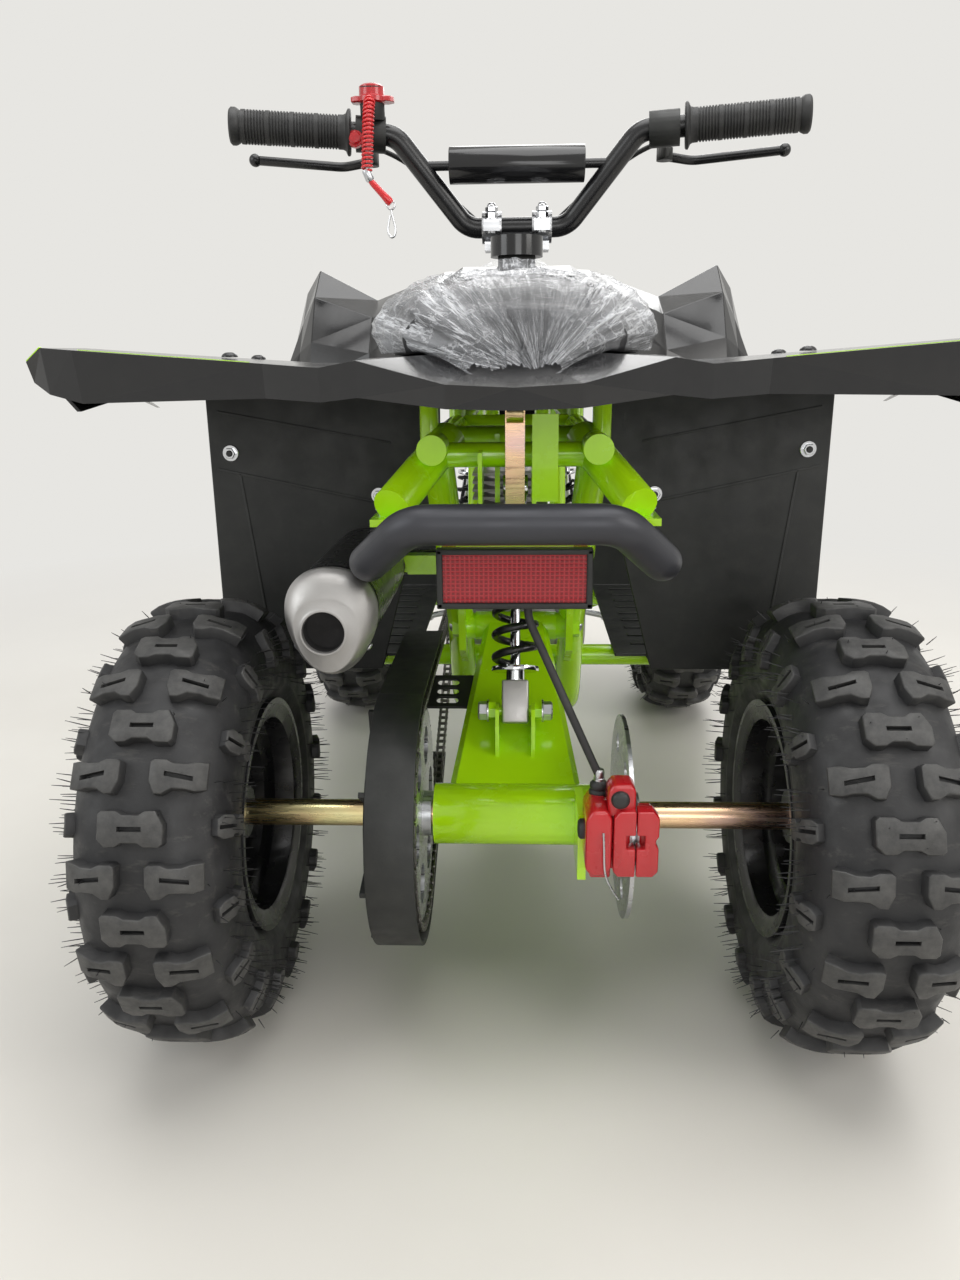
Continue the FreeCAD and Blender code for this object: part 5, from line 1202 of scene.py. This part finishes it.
def seen_ray(owner):
    """1 for rays from the camera and for those that mirror or pass on what the camera sees."""
    ray = node(owner, "LightPath").outputs
    mirrored = combine(owner, "MAXIMUM", ray["Is Glossy Ray"], ray["Is Transmission Ray"])
    return combine(owner, "MAXIMUM", ray["Is Camera Ray"], mirrored)


def floor():
    """A pale floor that fades into the plain backdrop away from the vehicle."""
    corners = [(x * FLOOR_HALF, y * FLOOR_HALF, 0) for x, y in ((-1, -1), (1, -1), (1, 1), (-1, 1))]
    ground = added("floor", mesh_from("floor", corners, [(0, 1, 2, 3)]))
    mat = new_material("floor_pale", (0.74, 0.71, 0.65), 0.4)
    at = coordinates(mat)
    shade(mat, {"Base Color": mottled(mat, at, 3.0, (0.72, 0.69, 0.63), (0.77, 0.74, 0.68))})
    away = node(mat, "VectorMath", {0: at}, operation="LENGTH").outputs["Value"]
    fade = combine(mat, "MULTIPLY", spread(mat, away, 0, 1, *FADE), seen_ray(mat))
    plain = node(mat, "Emission", {"Color": BACKDROP}).outputs["Emission"]
    near = mat.node_tree.nodes["Principled BSDF"].outputs["BSDF"]
    mix = node(mat, "MixShader", {0: fade, 1: near, 2: plain}).outputs["Shader"]
    feed(mat, mat.node_tree.nodes["Material Output"], {"Surface": mix})
    ground.data.materials.append(mat)


def sky():
    """Pale light from all round; the camera sees the plain backdrop instead."""
    world = bpy.data.worlds.new("studio")
    bpy.context.scene.world = world
    world.use_nodes = True
    light = world.node_tree.nodes["Background"]
    feed(world, light, {"Color": SKY, "Strength": 0.36})
    plain = node(world, "Background", {"Color": BACKDROP, "Strength": 1.0}).outputs["Background"]
    mix = {0: seen_ray(world), 1: light.outputs["Background"], 2: plain}
    mix = node(world, "MixShader", mix).outputs["Shader"]
    feed(world, world.node_tree.nodes["World Output"], {"Surface": mix})


def lamp(name, at, to, size, power, color=(1, 1, 1)):
    """A rectangular light of a size and power in watts, aimed at a point."""
    data = bpy.data.lights.new(name, "AREA")
    data.shape = "RECTANGLE"
    data.size, data.size_y = size
    data.energy = power
    data.color = color
    obj = added(name, data)
    obj.location = at
    obj.rotation_euler = (Vector(to) - Vector(at)).to_track_quat("-Z", "Y").to_euler()


def lights():
    lamp("ceiling", (0.2, -0.2, 2.9), (0, 0, 0.3), (2.6, 2.6), 62)
    lamp("window_right", (2.4, -1.6, 1.7), (0, -0.1, 0.3), (1.4, 1.6), 30, (1.0, 0.98, 0.95))
    lamp("window_left", (-2.3, -1.4, 1.5), (0, -0.1, 0.3), (1.4, 1.6), 20, (0.95, 0.98, 1.0))
    lamp("back", (0.4, 2.6, 2.0), (0, 0.2, 0.4), (1.8, 1.2), 24)
    lamp("behind_camera", (0.35, -2.6, 0.85), (0, -0.3, 0.25), (1.2, 0.8), 9)


# fitted to the photograph: degrees, the focal length in pixels of an image this many pixels high, and the
# viewpoint to the right of, ahead of and above the point on the floor below the rear axle
TILT, YAW, ROLL = -16.07, -2.45, -0.62
FOCAL, IMAGE_HIGH = 950.7, 1280
VIEWPOINT = (0.003, -0.662, 0.494)


def camera():
    """The photograph's viewpoint: low behind the machine, looking slightly down."""
    tilt, yaw, roll = radians(TILT), radians(YAW), radians(ROLL)
    forward = Vector((sin(yaw) * cos(tilt), cos(yaw) * cos(tilt), sin(tilt)))
    right = Vector((cos(yaw), -sin(yaw), 0))
    up = right.cross(forward)
    right, up = right * cos(roll) + up * sin(roll), up * cos(roll) - right * sin(roll)
    data = bpy.data.cameras.new("camera")
    data.sensor_width = 36.0
    data.lens = FOCAL / IMAGE_HIGH * data.sensor_width
    data.clip_start = 0.05
    obj = added("camera", data)
    basis = Matrix((right, up, -forward)).transposed()
    x, y, z = VIEWPOINT
    obj.matrix_world = Matrix.Translation((x, AXLE_Y + y, z)) @ basis.to_4x4()
    bpy.context.scene.camera = obj


floor()
sky()
lights()
camera()
bpy.context.scene.view_settings.view_transform = "Standard"
